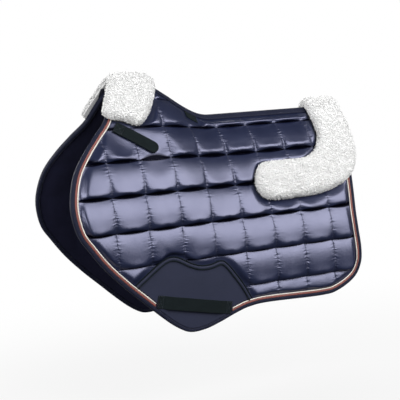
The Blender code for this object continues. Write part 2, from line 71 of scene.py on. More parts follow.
def makeCamera(v):
    yaw, pitch, roll = (math.radians(v[k]) for k in ("yaw", "pitch", "roll"))
    right = Vector((math.cos(yaw), math.sin(yaw), 0))
    behind = Vector((math.sin(yaw) * math.cos(pitch), -math.cos(yaw) * math.cos(pitch), math.sin(pitch)))
    up = behind.cross(right)
    turnedRight = right * math.cos(roll) + up * math.sin(roll)
    turnedUp = up * math.cos(roll) - right * math.sin(roll)
    place = Vector(v["target"]) + behind * v["distance"]
    place -= turnedRight * v["slide"][0] + turnedUp * v["slide"][1]
    camera = addObject("padCamera", bpy.data.cameras.new("padCamera"))
    camera.data.lens, camera.data.sensor_width, camera.data.clip_end = v["lens"], v["sensor"], v["clipEnd"]
    turn = Matrix((turnedRight, turnedUp, behind)).transposed()
    camera.matrix_world = Matrix.Translation(place) @ turn.to_4x4()
    scene.camera = camera


makeCamera(view)
print("camera ready")

# the pattern: flat cloth coordinates, x along the spine, v down the flap
shape = {
    "ridgeRadius": 0.008,
    "ridgeSlope": math.radians(46),
    "backRadius": 0.470,
    "ridgeHeight": 0.004,
    "levelRow": 0.300,
    "riseHeight": 0.085,
    "riseFoot": -0.155,
    "riseLength": 0.180,
    "tile": 0.075,
    "firstRow": 0.043,
    "spinePress": 0.55,
    "spinePressWidth": 0.045,
    "frontEnd": -0.388,
    "rearEnd": 0.177,
}
edgePoints = [
    (0.175, 0.058), (0.168, 0.118), (0.158, 0.174), (0.147, 0.268), (0.147, 0.323),
    (0.151, 0.373), (0.147, 0.406), (0.127, 0.436), (0.083, 0.459), (0.037, 0.465),
    (-0.100, 0.460), (-0.150, 0.463), (-0.185, 0.472), (-0.225, 0.486), (-0.262, 0.496),
    (-0.297, 0.497), (-0.325, 0.483), (-0.357, 0.457), (-0.402, 0.415), (-0.440, 0.379),
    (-0.478, 0.338), (-0.508, 0.297), (-0.529, 0.263), (-0.538, 0.219), (-0.535, 0.180),
    (-0.520, 0.134), (-0.492, 0.092), (-0.460, 0.054), (-0.428, 0.016), (-0.403, -0.042),
]


def smoothStep(t):
    t = np.clip(t, 0.0, 1.0)
    return t * t * (3 - 2 * t)


def riseAt(x):
    return shape["riseHeight"] * smoothStep((shape["riseFoot"] - np.asarray(x)) / shape["riseLength"])


def sectionAt(s):  # half width, depth below the ridge and slope of the back at s
    small, big, start = shape["ridgeRadius"], shape["backRadius"], shape["ridgeSlope"]
    smallArc, bigArc = small * start, big * (math.pi / 2 - start)
    top = s <= smallArc
    slope = np.where(top, s / small, start + np.clip(s - smallArc, 0, bigArc) / big)
    half = np.where(top, small * np.sin(slope), (small - big) * math.sin(start) + big * np.sin(slope))
    depth = np.where(top, small * (1 - np.cos(slope)),
                     small + (big - small) * math.cos(start) - big * np.cos(slope)
                     + np.maximum(0, s - smallArc - bigArc))
    return half, depth, slope


def wrapped(x, v, n, side):  # flat pattern to its place over the back
    x, v, n = np.broadcast_arrays(*(np.asarray(a, float) for a in (x, v, n)))
    s = v + riseAt(x)
    half, depth, slope = sectionAt(np.abs(s))
    pressed = shape["spinePress"] + (1 - shape["spinePress"]) * smoothStep(s / shape["spinePressWidth"])
    n = np.where(n < 0, n * pressed, n)
    lift = sectionAt(shape["levelRow"] + riseAt(x))[1] - sectionAt(np.full_like(x, shape["levelRow"]))[1]
    y = np.copysign(half + n * np.sin(slope), s)
    z = shape["ridgeHeight"] + lift - depth + n * np.cos(slope)
    return np.stack((x, side * y, z), axis=-1)


def onRidge(x, s):
    return (x, float(s - riseAt(x)))


def smoothPath(points, spacing=0.004):  # a smooth line through points
    knots = [np.array(p, float) for p in points]
    knots = [2 * knots[0] - knots[1]] + knots + [2 * knots[-1] - knots[-2]]
    path = []
    for a, b, c, d in zip(knots, knots[1:], knots[2:], knots[3:]):
        count = max(1, round(float(np.linalg.norm(c - b)) / spacing))
        for i in range(count):
            t = i / count
            bends = (c - a) * t + (2 * a - 5 * b + 4 * c - d) * t**2 + (3 * b - a - 3 * c + d) * t**3
            path.append(b + bends / 2)
    return np.array(path + [knots[-2]])


def runLengths(path):  # how far along a path each of its points is
    return np.concatenate(([0], np.cumsum(np.linalg.norm(np.diff(path, axis=0), axis=1))))


def evenPath(path, spacing):  # the same line with even steps
    path = np.asarray(path, float)
    run = runLengths(path)
    steps = np.linspace(0, run[-1], max(2, round(run[-1] / spacing) + 1))
    return np.stack([np.interp(steps, run, path[:, k]) for k in range(path.shape[1])], axis=1)


def pathSides(path, closed=False):  # unit vectors to the right of a path
    if closed:
        ahead, behind = np.roll(path, -1, axis=0), np.roll(path, 1, axis=0)
    else:
        ahead = np.vstack((path[1:], 2 * path[-1] - path[-2]))
        behind = np.vstack((2 * path[0] - path[1], path[:-1]))
    along = ahead - behind
    along /= np.linalg.norm(along, axis=1)[:, None]
    return np.stack((along[:, 1], -along[:, 0]), axis=1)


def offsetPath(path, distance, closed=False):
    return path + pathSides(path, closed) * distance


def distanceTo(points, path, closed=False):
    starts = path if closed else path[:-1]
    ends = np.roll(path, -1, axis=0) if closed else path[1:]
    best = np.full(len(points), 9.0)
    for a, b in zip(starts, ends):
        run = b - a
        t = np.clip(((points - a) @ run) / max(run @ run, 1e-12), 0, 1)
        best = np.minimum(best, np.linalg.norm(points - a - t[:, None] * run, axis=1))
    return best


def insideOf(points, outline):
    inside = np.zeros(len(points), bool)
    x, y = points[:, 0], points[:, 1]
    for (ax, ay), (bx, by) in zip(outline, np.roll(outline, -1, axis=0)):
        crosses = (ay > y) != (by > y)
        if ay != by:
            inside ^= crosses & (x < (bx - ax) * (y - ay) / (by - ay) + ax)
    return inside


def edgePath(topS=0.02, spacing=0.004):  # round the flap from the rear ridge to the front one
    points = [onRidge(shape["rearEnd"], topS)] + edgePoints + [onRidge(shape["frontEnd"], topS)]
    return smoothPath(points, spacing)


def ridgePath(startX, endX, s, spacing=0.006):
    x = np.linspace(startX, endX, max(2, round(abs(endX - startX) / spacing) + 1))
    return np.stack((x, s - riseAt(x)), axis=1)


def panelOutline(topS=0.02, inset=0.0):
    edge = offsetPath(edgePath(topS), -inset) if inset else edgePath(topS)
    return np.vstack((edge, ridgePath(edge[-1][0], edge[0][0], topS)[1:-1]))


def heading(angle):  # unit vectors along and across a strip
    along = np.array([math.cos(angle), math.sin(angle)])
    return along, np.array([-along[1], along[0]])


def fromSeam(place, first=0.0):  # distance to the nearest of the seams that run one way
    tile = shape["tile"]
    return np.abs((place - first + tile / 2) % tile - tile / 2)


def tileWave(x, v):  # 0 on every seam, 1 in the middle of a tile
    return np.abs(np.sin(math.pi * x / shape["tile"]) * np.sin(math.pi * (v - shape["firstRow"]) / shape["tile"]))


# small tools that turn flat pieces into meshes
def readAll(items, field, width, kind=np.float32):  # one property of all items, as rows
    values = np.empty(len(items) * width, kind)
    items.foreach_get(field, values)
    return values.reshape(-1, width)


def addMesh(name, points, faces, side=1, uv=None):
    mesh = bpy.data.meshes.new(name)
    faces = [tuple(int(i) for i in (f if side > 0 else f[::-1])) for f in faces]
    mesh.from_pydata([tuple(p) for p in points], [], faces)
    if uv is not None:
        layer = mesh.uv_layers.new(name="flatPattern")
        index = readAll(mesh.loops, "vertex_index", 1, np.int32)[:, 0]
        layer.data.foreach_set("uv", np.asarray(uv, np.float32)[index].ravel())
    mesh.validate()
    mesh.update()
    mesh.polygons.foreach_set("use_smooth", [True] * len(mesh.polygons))
    return addObject(name, mesh)


def discard(obj):
    mesh = obj.data
    bpy.data.objects.remove(obj)
    bpy.data.meshes.remove(mesh)


def flatPiece(outline, step, rings=(), rim=None):  # triangles inside an outline, with rings along its rim
    closed = rim is None
    rim = outline if closed else rim
    x0, v0 = outline.min(axis=0)
    x1, v1 = outline.max(axis=0)
    rowStep = step * 0.87  # rows of even triangles
    gx, gv = np.meshgrid(np.arange(x0, x1, step), np.arange(v0, v1, rowStep))
    gx = gx + (np.arange(len(gx)) % 2)[:, None] * step / 2
    grid = np.stack((gx.ravel(), gv.ravel()), axis=1)
    grid = grid[insideOf(grid, outline)]
    clear = (rings[-1] if rings else 0.0) + step * 0.55
    grid = grid[(distanceTo(grid, rim, closed) > clear) & (distanceTo(grid, outline, True) > step * 0.45)]
    sets = [outline]
    for depth in rings:
        ring = offsetPath(rim, -depth, closed)
        good = insideOf(ring, outline) & (distanceTo(ring, rim, closed) > depth * 0.93)
        good &= distanceTo(ring, outline, True) > depth * 0.5
        sets.append(ring[good])
    sets.append(grid)
    points = np.vstack(sets)
    edges = [(i, (i + 1) % len(outline)) for i in range(len(outline))]
    out = delaunay_2d_cdt([Vector(p) for p in points], edges, [], 1, 1e-7)
    points = np.array([tuple(p) for p in out[0]])
    tris = np.array([tuple(t) for t in out[2] if len(t) == 3])
    a, b, c = (points[tris[:, k]] for k in range(3))
    area = (b[:, 0] - a[:, 0]) * (c[:, 1] - a[:, 1]) - (b[:, 1] - a[:, 1]) * (c[:, 0] - a[:, 0])
    tris[area < 0] = tris[area < 0][:, ::-1]
    tris = tris[np.abs(area) > 1e-12]
    depth = distanceTo(points, rim, closed)
    return {"points": points, "faces": tris, "depth": depth, "area": float(np.abs(area).sum() / 2)}


def openEdges(faces):  # edges that only one face has
    seen = {(f[i], f[(i + 1) % len(f)]) for f in faces for i in range(len(f))}
    return [(a, b) for a, b in seen if (b, a) not in seen]


def underside(faces, count):  # the faces once more, turned over, on the points that follow
    return [tuple(i + count for i in f[::-1]) for f in faces]


def closedBody(name, piece, top, bottom, side):  # a flat piece with its own thickness, wrapped over the back
    flat, faces = piece["points"], [tuple(f) for f in piece["faces"]]
    count = len(flat)
    points = np.vstack([wrapped(*flat.T, height, side) for height in (top, bottom)])
    walls = [(b, a, a + count, b + count) for a, b in openEdges(faces)]
    return addMesh(name, points, faces + underside(faces, count) + walls, side, np.vstack((flat, flat)))


def rounded(piece, top, softness):  # top surface that falls away at the rim
    return top - softness * (1 - np.clip(piece["depth"] / softness, 0, 1)) ** 2


def tube(name, rings, side, uv):  # a closed skin through rings of points
    rows, around = rings.shape[:2]
    index = np.arange(rows * around).reshape(rows, around)
    faces = [(index[i, j], index[i, (j + 1) % around], index[i + 1, (j + 1) % around], index[i + 1, j])
             for i in range(rows - 1) for j in range(around)]
    faces += [tuple(index[0]), tuple(index[-1][::-1])]
    obj = addMesh(name, rings.reshape(-1, 3), faces, side, uv.reshape(-1, 2))
    bm = bmesh.new()
    bm.from_mesh(obj.data)
    bmesh.ops.recalc_face_normals(bm, faces=bm.faces[:])
    bm.to_mesh(obj.data)
    bm.free()
    return obj


def sweep(name, path, profile, side):  # a closed profile of (offset, height) drawn along a path
    rings = np.stack([wrapped(*offsetPath(path, d).T, n, side) for d, n in profile], axis=1)
    uv = np.stack(np.broadcast_arrays(runLengths(path)[:, None], [d for d, n in profile]), axis=-1)
    return tube(name, rings, side, uv)


def roundProfile(radius, height, count=8, halfHeight=None):
    up = halfHeight or radius
    turns = [2 * math.pi * i / count for i in range(count)]
    return [(radius * math.cos(a), height + up * (1 + math.sin(a))) for a in turns]


def plainCopy(obj, name):  # an evaluated modifier result as a plain mesh, in place of its source
    graph = bpy.context.evaluated_depsgraph_get()
    mesh = bpy.data.meshes.new_from_object(obj.evaluated_get(graph))
    discard(obj)
    mesh.name = name
    return addObject(name, mesh)


def dress(obj, slot, body, *nodes):  # finish, body, slot and the CAD nodes that the piece stands for
    obj.data.materials.append(finishes[slot])
    if body:
        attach(obj, body)
    for node in nodes:
        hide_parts(node)


def bendWithFlap(obj):
    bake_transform(obj)


# finishes
def addNode(tree, kind, inputs=None, **settings):  # a node with its settings, values and links
    node = tree.nodes.new(kind)
    for key, value in settings.items():
        setattr(node, key, value)
    for key, value in (inputs or {}).items():
        if isinstance(value, bpy.types.NodeSocket):
            tree.links.new(value, node.inputs[key])
        else:
            node.inputs[key].default_value = value
    return node


def newTree(name, kind, inputs, outputs):
    tree = bpy.data.node_groups.new(name, kind)
    for way, labels in (("INPUT", inputs), ("OUTPUT", outputs)):
        for label, socket in labels.items():
            tree.interface.new_socket(label, in_out=way, socket_type=f"NodeSocket{socket}")
    return tree, addNode(tree, "NodeGroupInput").outputs


def calculator(tree):  # each call of the result adds one maths node
    def calculate(operation, *values):
        return addNode(tree, "ShaderNodeMath", dict(enumerate(values)), operation=operation).outputs[0]
    return calculate


def patternPoint(tree):  # place on the flat pattern, in metres
    uv = addNode(tree, "ShaderNodeUVMap", uv_map="flatPattern").outputs["UV"]
    parts = addNode(tree, "ShaderNodeSeparateXYZ", {0: uv}).outputs
    return uv, parts[0], parts[1]


def mixed(tree, share, first, second):
    inputs = {"Factor": share, "A": first, "B": second}
    return addNode(tree, "ShaderNodeMix", inputs, data_type="RGBA").outputs["Result"]


def makeWeaveGroup():  # crossing threads over the flat pattern, with painted shade in the grooves between them and uneven dye
    group, into = newTree("threadWeave", "ShaderNodeTree", {
        "Thread Pitch": "Float", "Slant": "Float", "Dark": "Color", "Light": "Color", "Fade Size": "Float",
    }, {"Color": "Color", "Height": "Float", "Mottle": "Float"})
    do = calculator(group)
    uv, x, v = patternPoint(group)
    turns = do("DIVIDE", 2 * math.pi, into["Thread Pitch"])
    slanted = do("ADD", x, do("MULTIPLY", v, into["Slant"]))
    height = do("ADD", *(do("ABSOLUTE", do("SINE", do("MULTIPLY", run, turns))) for run in (slanted, v)))
    dye = addNode(group, "ShaderNodeTexNoise", {
        "Detail": 4.0, "Vector": uv, "Scale": into["Fade Size"]}).outputs["Fac"]
    # painted shade: the grooves between threads are darker, a fifth of the colour change; the uneven dye gives
    # the rest
    grooveShadeShare, dyeShare = 0.22, 0.65
    shade = do("ADD", do("MULTIPLY", height, grooveShadeShare), do("MULTIPLY", dye, dyeShare))
    addNode(group, "NodeGroupOutput", {
        "Color": mixed(group, shade, into["Dark"], into["Light"]), "Height": height, "Mottle": dye})
    return group


def makeTwistGroup():  # strands of a laid cord, along its own run, with painted shade in the grooves between them
    group, into = newTree("cordTwist", "ShaderNodeTree", {
        "Lay": "Float", "Girth": "Float", "Dark": "Color", "Light": "Color",
    }, {"Color": "Color", "Height": "Float"})
    do = calculator(group)
    _, along, across = patternPoint(group)
    turns = do("ADD", do("DIVIDE", along, into["Lay"]), do("DIVIDE", across, into["Girth"]))
    height = do("ABSOLUTE", do("SINE", do("MULTIPLY", turns, 2 * math.pi)))
    # painted shade: the colour goes from light on each strand to dark in the grooves
    addNode(group, "NodeGroupOutput", {
        "Color": mixed(group, height, into["Dark"], into["Light"]), "Height": height})
    return group


# creases beside the quilting seams, and painted shade along the row seams
seamPuckerAndShadeLook = {
    "reach": 0.012,        # of the small creases that run out from a quilting seam
    "left": 0.08,          # share of a crease that is left at that distance
    "columns": {"acrossSize": 45.0, "downSize": 230.0, "share": 1.0},
    "rows": {"acrossSize": 190.0, "downSize": 60.0, "share": 0.12},
    "paintedShadeAbove": 0.0200,   # how far the painted shade at a row seam reaches up and down, faded at the end
    "paintedShadeBelow": 0.0045,
    "paintedShadeEnds": 0.8,       # below 1 carries the painted shade on towards the columns
    "widestShadeRow": 0.19,    # where on the flap the painted shade is widest
    "rowSpread": 0.20,     # and how slowly it narrows above and below that row
    "plateau": 1.25,       # above 1 keeps it at full width round there
}


def makeSeamPuckerAndShadeGroup(s):  # small creases beside the seams, and painted shade over each row seam under the lip of the tile above
    group, _ = newTree("seamPuckerAndPaintedShade", "ShaderNodeTree", {}, {"Height": "Float", "Fold": "Float"})
    do = calculator(group)
    _, x, v = patternPoint(group)
    tile = shape["tile"]
    down = do("SUBTRACT", v, shape["firstRow"])
    creases, paintedShades = [], []
    for position, look in ((x, s["columns"]), (down, s["rows"])):
        far = do("DIVIDE", do("PINGPONG", position, tile / 2), s["reach"])
        stretch = addNode(group, "ShaderNodeCombineXYZ", {
            "X": do("MULTIPLY", x, look["acrossSize"]), "Y": do("MULTIPLY", v, look["downSize"])}).outputs[0]
        noise = addNode(group, "ShaderNodeTexNoise", {"Scale": 1.0, "Detail": 1.5, "Vector": stretch})
        near = do("MULTIPLY", noise.outputs["Fac"], do("POWER", s["left"], far))
        creases.append(do("MULTIPLY", near, look["share"]))
    # the painted shade is widest halfway between two columns, and in the middle rows of the flap
    width = do("POWER", do("ABSOLUTE", do("SINE", do("MULTIPLY", x, math.pi / tile))), s["paintedShadeEnds"])
    off = do("DIVIDE", do("ABSOLUTE", do("SUBTRACT", v, s["widestShadeRow"])), s["rowSpread"])
    width = do("MULTIPLY", width, do("MINIMUM", do("SUBTRACT", s["plateau"], off), 1.0))
    width = do("MAXIMUM", width, 0.001)
    below = do("MULTIPLY", do("FRACT", do("DIVIDE", down, tile)), tile)
    for far, reach in ((do("SUBTRACT", tile, below), s["paintedShadeAbove"]), (below, s["paintedShadeBelow"])):
        near = do("SUBTRACT", 1.0, do("DIVIDE", far, do("MULTIPLY", width, reach)))
        paintedShades.append(do("MINIMUM", do("MULTIPLY", do("MAXIMUM", near, 0.0), 2.0), 1.0))
    addNode(group, "NodeGroupOutput", {"Height": do("ADD", *creases), "Fold": do("MAXIMUM", *paintedShades)})
    return group


weaveGroup = makeWeaveGroup()
twistGroup = makeTwistGroup()
seamPuckerAndShadeGroup = makeSeamPuckerAndShadeGroup(seamPuckerAndShadeLook)


def newMaterial(name, look):
    material = bpy.data.materials.new(name)
    material.use_nodes = True
    shader = material.node_tree.nodes["Principled BSDF"]
    values = {"Roughness": look["roughness"], "Specular IOR Level": look.get("specular", 0.5),
              "Sheen Weight": look.get("sheen", 0.0), "Sheen Roughness": 0.4}
    for label, value in values.items():
        shader.inputs[label].default_value = value
    return material, material.node_tree, shader


def addBump(tree, shader, height, strength, distance):
    bump = addNode(tree, "ShaderNodeBump", {"Strength": strength, "Distance": distance, "Height": height})
    tree.links.new(bump.outputs["Normal"], shader.inputs["Normal"])
    return bump


def threadNode(tree, shader, group, look, values):  # a thread group that colours the shader
    colours = {"Dark": (*look["dark"], 1), "Light": (*look["light"], 1)}
    threads = addNode(tree, "ShaderNodeGroup", {**values, **colours}, node_tree=group)
    tree.links.new(threads.outputs["Color"], shader.inputs["Base Color"])
    return threads.outputs


def wovenMaterial(name, look):
    material, tree, shader = newMaterial(name, look)
    weave = threadNode(tree, shader, weaveGroup, look, {
        "Thread Pitch": look["pitch"], "Slant": look.get("slant", 0.0), "Fade Size": look.get("fade", 30.0)})
    fine = addBump(tree, shader, weave["Height"], look["bump"], look["pitch"] / 4)
    return material, tree, shader, weave, fine


def clothMaterial(name, look):
    return wovenMaterial(name, look)[0]


def cordMaterial(name, look):
    material, tree, shader = newMaterial(name, look)
    twist = threadNode(tree, shader, twistGroup, look, {"Lay": look["lay"], "Girth": look["girth"]})
    addBump(tree, shader, twist["Height"], look["bump"], look["bumpDepth"])
    return material


def fleeceMaterial(name, look):
    material, tree, shader = newMaterial(name, look)
    coords = addNode(tree, "ShaderNodeTexCoord").outputs["Object"]
    curls = addNode(tree, "ShaderNodeTexNoise", {
        "Scale": look["curl"], "Detail": 5.0, "Roughness": 0.65, "Vector": coords}).outputs["Fac"]
    ramp = addNode(tree, "ShaderNodeValToRGB", {"Fac": curls})
    for stop, place, colour in zip(ramp.color_ramp.elements, (0.3, 0.7), (look["root"], look["tip"])):
        stop.position = place
        stop.color = (*colour, 1)
    tree.links.new(ramp.outputs["Color"], shader.inputs["Base Color"])
    addBump(tree, shader, curls, look["bump"], look["bumpDepth"])
    return material


def satinMaterial(name, look):
    material, tree, shader, weave, fine = wovenMaterial(name, look)
    do = calculator(tree)
    shader.inputs["IOR"].default_value = look["ior"]
    shader.inputs["Specular Tint"].default_value = (*look["tint"], 1)
    (thin, strong), rough, spread = look["dyeRange"], look["roughness"], look["roughSpread"]
    uneven = addNode(tree, "ShaderNodeMapRange", {
        "Value": weave["Mottle"], "From Min": thin, "From Max": strong,
        "To Min": rough - spread, "To Max": rough + spread})
    tree.links.new(uneven.outputs["Result"], shader.inputs["Roughness"])
    seams = addNode(tree, "ShaderNodeGroup", node_tree=seamPuckerAndShadeGroup).outputs
    crease = addNode(tree, "ShaderNodeBump", {
        "Strength": 1.0, "Distance": look["crease"], "Height": seams["Height"]})
    tree.links.new(crease.outputs["Normal"], fine.inputs["Normal"])
    # painted shade: along the row seams the base colour goes near black and the specular is taken away, standing
    # in for the shadow under each tile's lip
    lit = do("SUBTRACT", 1.0, do("MULTIPLY", seams["Fold"], look["paintedShadeStrength"]))
    tree.links.new(do("MULTIPLY", lit, 0.5), shader.inputs["Specular IOR Level"])
    shaded = mixed(tree, lit, (*look["paintedShadeColour"], 1), weave["Color"])
    tree.links.new(shaded, shader.inputs["Base Color"])
    return material


finishes = {
    "navy_satin": satinMaterial("navySatin", {
        "roughness": 0.33, "roughSpread": 0.04, "dyeRange": (0.3, 0.7), "ior": 1.95, "tint": (0.72, 0.73, 1.0),
        # the last two set the painted shade along the row seams: its strength and its near black colour
        "crease": 0.0032, "paintedShadeStrength": 0.98, "paintedShadeColour": (0.001, 0.001, 0.004),
        "pitch": 0.0007, "slant": 0.5, "bump": 0.10, "fade": 22.0,
        "dark": (0.004, 0.006, 0.022), "light": (0.010, 0.016, 0.047)}),
    "binding_tape": clothMaterial("bindingTape", {
        "roughness": 0.7, "sheen": 0.04, "specular": 0.15, "pitch": 0.0012, "slant": 1.0, "bump": 0.35,
        "dark": (0.004, 0.005, 0.014), "light": (0.016, 0.019, 0.042)}),
    "lining_cotton": clothMaterial("liningCotton", {
        "roughness": 0.85, "sheen": 0.1, "specular": 0.25, "pitch": 0.0009, "bump": 0.3,
        "dark": (0.003, 0.003, 0.014), "light": (0.008, 0.009, 0.032)}),
    "slate_patch": clothMaterial("slatePatch", {
        "roughness": 0.6, "sheen": 0.05, "specular": 0.25,
        "pitch": 0.0008, "slant": 0.4, "bump": 0.15, "fade": 14.0,
        "dark": (0.010, 0.013, 0.028), "light": (0.022, 0.026, 0.055)}),
    "dark_webbing": clothMaterial("darkWebbing", {
        "roughness": 0.8, "sheen": 0.03, "specular": 0.12, "pitch": 0.0018, "bump": 0.6,
        "dark": (0.002, 0.004, 0.005), "light": (0.009, 0.015, 0.017)}),
    "dark_felt": clothMaterial("darkFelt", {
        "roughness": 0.95, "sheen": 0.3, "specular": 0.15, "pitch": 0.0011, "bump": 0.2, "fade": 120.0,
        "dark": (0.008, 0.009, 0.016), "light": (0.022, 0.024, 0.038)}),
    "hook_and_loop": clothMaterial("hookAndLoop", {
        "roughness": 0.95, "sheen": 0.25, "specular": 0.2, "pitch": 0.0014, "bump": 1.0,
        "dark": (0.006, 0.006, 0.009), "light": (0.026, 0.026, 0.032)}),
    "foam": clothMaterial("foamSheet", {
        "roughness": 0.95, "specular": 0.2, "pitch": 0.0010, "bump": 0.5, "fade": 300.0,
        "dark": (0.55, 0.53, 0.45), "light": (0.80, 0.78, 0.70)}),
    "cream_cord": cordMaterial("creamCord", {
        "roughness": 0.55, "sheen": 0.2, "lay": 0.005, "girth": 0.0026, "bump": 0.6, "bumpDepth": 0.0004,
        "dark": (0.60, 0.54, 0.47), "light": (0.88, 0.84, 0.76)}),
    "copper_cord": cordMaterial("copperCord", {
        "roughness": 0.45, "sheen": 0.2, "lay": 0.005, "girth": 0.0026, "bump": 0.6, "bumpDepth": 0.0004,
        "dark": (0.13, 0.034, 0.030), "light": (0.29, 0.088, 0.070)}),
    "white_fleece": fleeceMaterial("whiteFleece", {
        "roughness": 0.95, "specular": 0.2, "sheen": 0.8, "curl": 160.0, "bump": 0.12, "bumpDepth": 0.0010,
        "root": (0.94, 0.94, 0.935), "tip": (0.98, 0.98, 0.975)}),
}
navyThread = clothMaterial("navyThread", {
    "roughness": 0.6, "sheen": 0.2, "pitch": 0.0005, "bump": 0.2,
    "dark": (0.008, 0.010, 0.022), "light": (0.03, 0.035, 0.06)})
print("finishes ready")

# the pieces' outlines on the flat pattern
fleeceShape = {
    "pommel": {
        "points": [(-0.288, -0.068), (-0.295, -0.051), (-0.311, -0.020), (-0.331, 0.012), (-0.348, 0.031),
                   (-0.363, 0.038), (-0.379, 0.031), (-0.397, 0.023), (-0.418, 0.019), (-0.431, 0.008),
                   (-0.430, -0.002), (-0.411, -0.044)],
        "rear": -0.288, "front": -0.393},
    "cantle": {
        "points": [(0.184, 0.067), (0.180, 0.122), (0.174, 0.152), (0.161, 0.181), (0.139, 0.203),
                   (0.107, 0.219), (0.059, 0.231), (0.001, 0.234), (-0.056, 0.235), (-0.086, 0.228),
                   (-0.100, 0.208), (-0.099, 0.184), (-0.087, 0.163), (-0.063, 0.151), (0.024, 0.151),
                   (0.055, 0.144), (0.078, 0.126), (0.094, 0.100), (0.100, 0.072)],
        "rear": 0.185, "front": 0.101},
}
onCover = 0.0003  # height at which a piece that is sewn on the cover begins
patchShape = {
    "top": [(-0.4155, 0.3815), (-0.369, 0.349), (-0.347, 0.336), (-0.330, 0.332), (-0.313, 0.336),
            (-0.290, 0.349), (-0.265, 0.359), (-0.240, 0.360), (-0.214, 0.355), (-0.199, 0.364),
            (-0.180, 0.389), (-0.162, 0.416), (-0.145, 0.4475)],
    "thickness": 0.002, "softness": 0.0009, "cordRadius": 0.0013, "cordGap": 0.0003, "edgeInset": 0.0143,
    "stepGap": 0.0004, "step": 0.006, "rings": (0.0006, 0.0014, 0.0030, 0.0048),
    "rollPitch": 0.0067, "roll": 0.0014, "rollStart": 0.0002, "rollEnd": 0.0013,
}
bindingShape = {"width": 0.0058, "thickness": 0.0015, "gap": 0.0006, "low": -0.0100,
                "topS": 0.0220, "step": 0.0045}
pipingShape = {"copper": (0.0083, 0.0022), "cream": (0.0121, 0.0013),  # inset and half width
               "halfHeight": 0.0013, "height": 0.0003, "endGap": 0.0030, "step": 0.0035, "corners": 12}
stripShape = {"step": 0.003, "rings": (0.0004, 0.001), "softness": 0.0006}
strapShape = {"start": (-0.413, 0.037), "angle": math.radians(36), "length": 0.105, "width": 0.026,
              "sewnEnd": 0.022, "gap": 0.0003, "bottom": 0.0029, "thickness": 0.0022,
              "hookLength": 0.045, "hookWidth": 0.020,
              "hook": (0.0026, 0.0016), "loop": (0.0013, onCover)}  # top and bottom
tabShape = {"x": -0.207, "width": 0.027, "length": 0.020, "top": 0.0183, "thickness": 0.0015}
keeperShape = {"centre": (-0.283, 0.441), "angle": math.radians(12.5), "length": 0.178, "width": 0.028,
               "thickness": 0.0015, "sewnEnd": 0.014, "ramp": 0.018, "rise": 0.0049, "bottom": 0.0026}


def fleeceRim(part):
    f = fleeceShape[part]
    return smoothPath([onRidge(f["rear"], 0.0)] + f["points"] + [onRidge(f["front"], 0.0)])


def fleeceOutline(part):
    rim = fleeceRim(part)
    return np.vstack((rim, ridgePath(rim[-1][0], rim[0][0], 0.0, 0.004)[1:-1]))


def beyondKeeper(path, end, distance):  # the part of a path further than a distance from the keeper's end
    k = keeperShape
    along = heading(k["angle"])[0] * end
    limits = (path - np.array(k["centre"])) @ along - k["length"] / 2 - distance
    kept = []
    for i, (point, limit) in enumerate(zip(path, limits)):
        if i and (limit > 0) != (limits[i - 1] > 0):
            kept.append(path[i - 1] + (point - path[i - 1]) * limits[i - 1] / (limits[i - 1] - limit))
        if limit > 0:
            kept.append(point)
    return np.array(kept)


def patchOutline():  # inside the pipings, and down to the binding between the keeper's ends
    edge = edgePath()
    inside = offsetPath(edge, -patchShape["edgeInset"])
    low = offsetPath(edge, -bindingShape["width"] - bindingShape["gap"])
    top, step = smoothPath(patchShape["top"]), patchShape["stepGap"]
    rear, front = beyondKeeper(inside, 1, step), beyondKeeper(inside, -1, step)
    rear = rear[(rear[:, 1] > top[-1][1]) & (rear[:, 0] < top[-1][0])]
    front = front[(front[:, 1] > top[0][1]) & (front[:, 0] > top[0][0])]
    middle = beyondKeeper(beyondKeeper(low, 1, -keeperShape["length"] - step), -1, -keeperShape["length"] - step)
    return np.vstack((top, rear, middle, front))


def stripOutline(start, angle, length, width, roundEnd=False):
    along, across = heading(angle)
    half = width / 2
    near = [start - across * half, start + across * half]
    if roundEnd:
        centre, turns = start + along * (length - half), np.linspace(0, math.pi, 13)
        far = [centre + across * half * math.cos(a) + along * half * math.sin(a) for a in turns]
    else:
        far = [start + along * length + across * half, start + along * length - across * half]
    return evenPath(np.vstack((near, far, near[:1])), 0.002)[:-1][::-1]


def stripPiece(outline):
    return flatPiece(outline, stripShape["step"], stripShape["rings"])


def tabOutline():
    t = tabShape
    front, rear = t["x"] - t["width"] / 2, t["x"] + t["width"] / 2
    upper, lower = ridgePath(front, rear, t["top"], 0.003), ridgePath(rear, front, t["top"] + t["length"], 0.003)
    return np.vstack((upper, lower))


def outlinesOnCover():  # of everything that is sewn on the quilted cover
    s = strapShape
    return {"pommel": fleeceOutline("pommel"), "cantle": fleeceOutline("cantle"), "patch": patchOutline(),
            "strap": stripOutline(s["start"], s["angle"], s["length"], s["width"], True), "tab": tabOutline()}


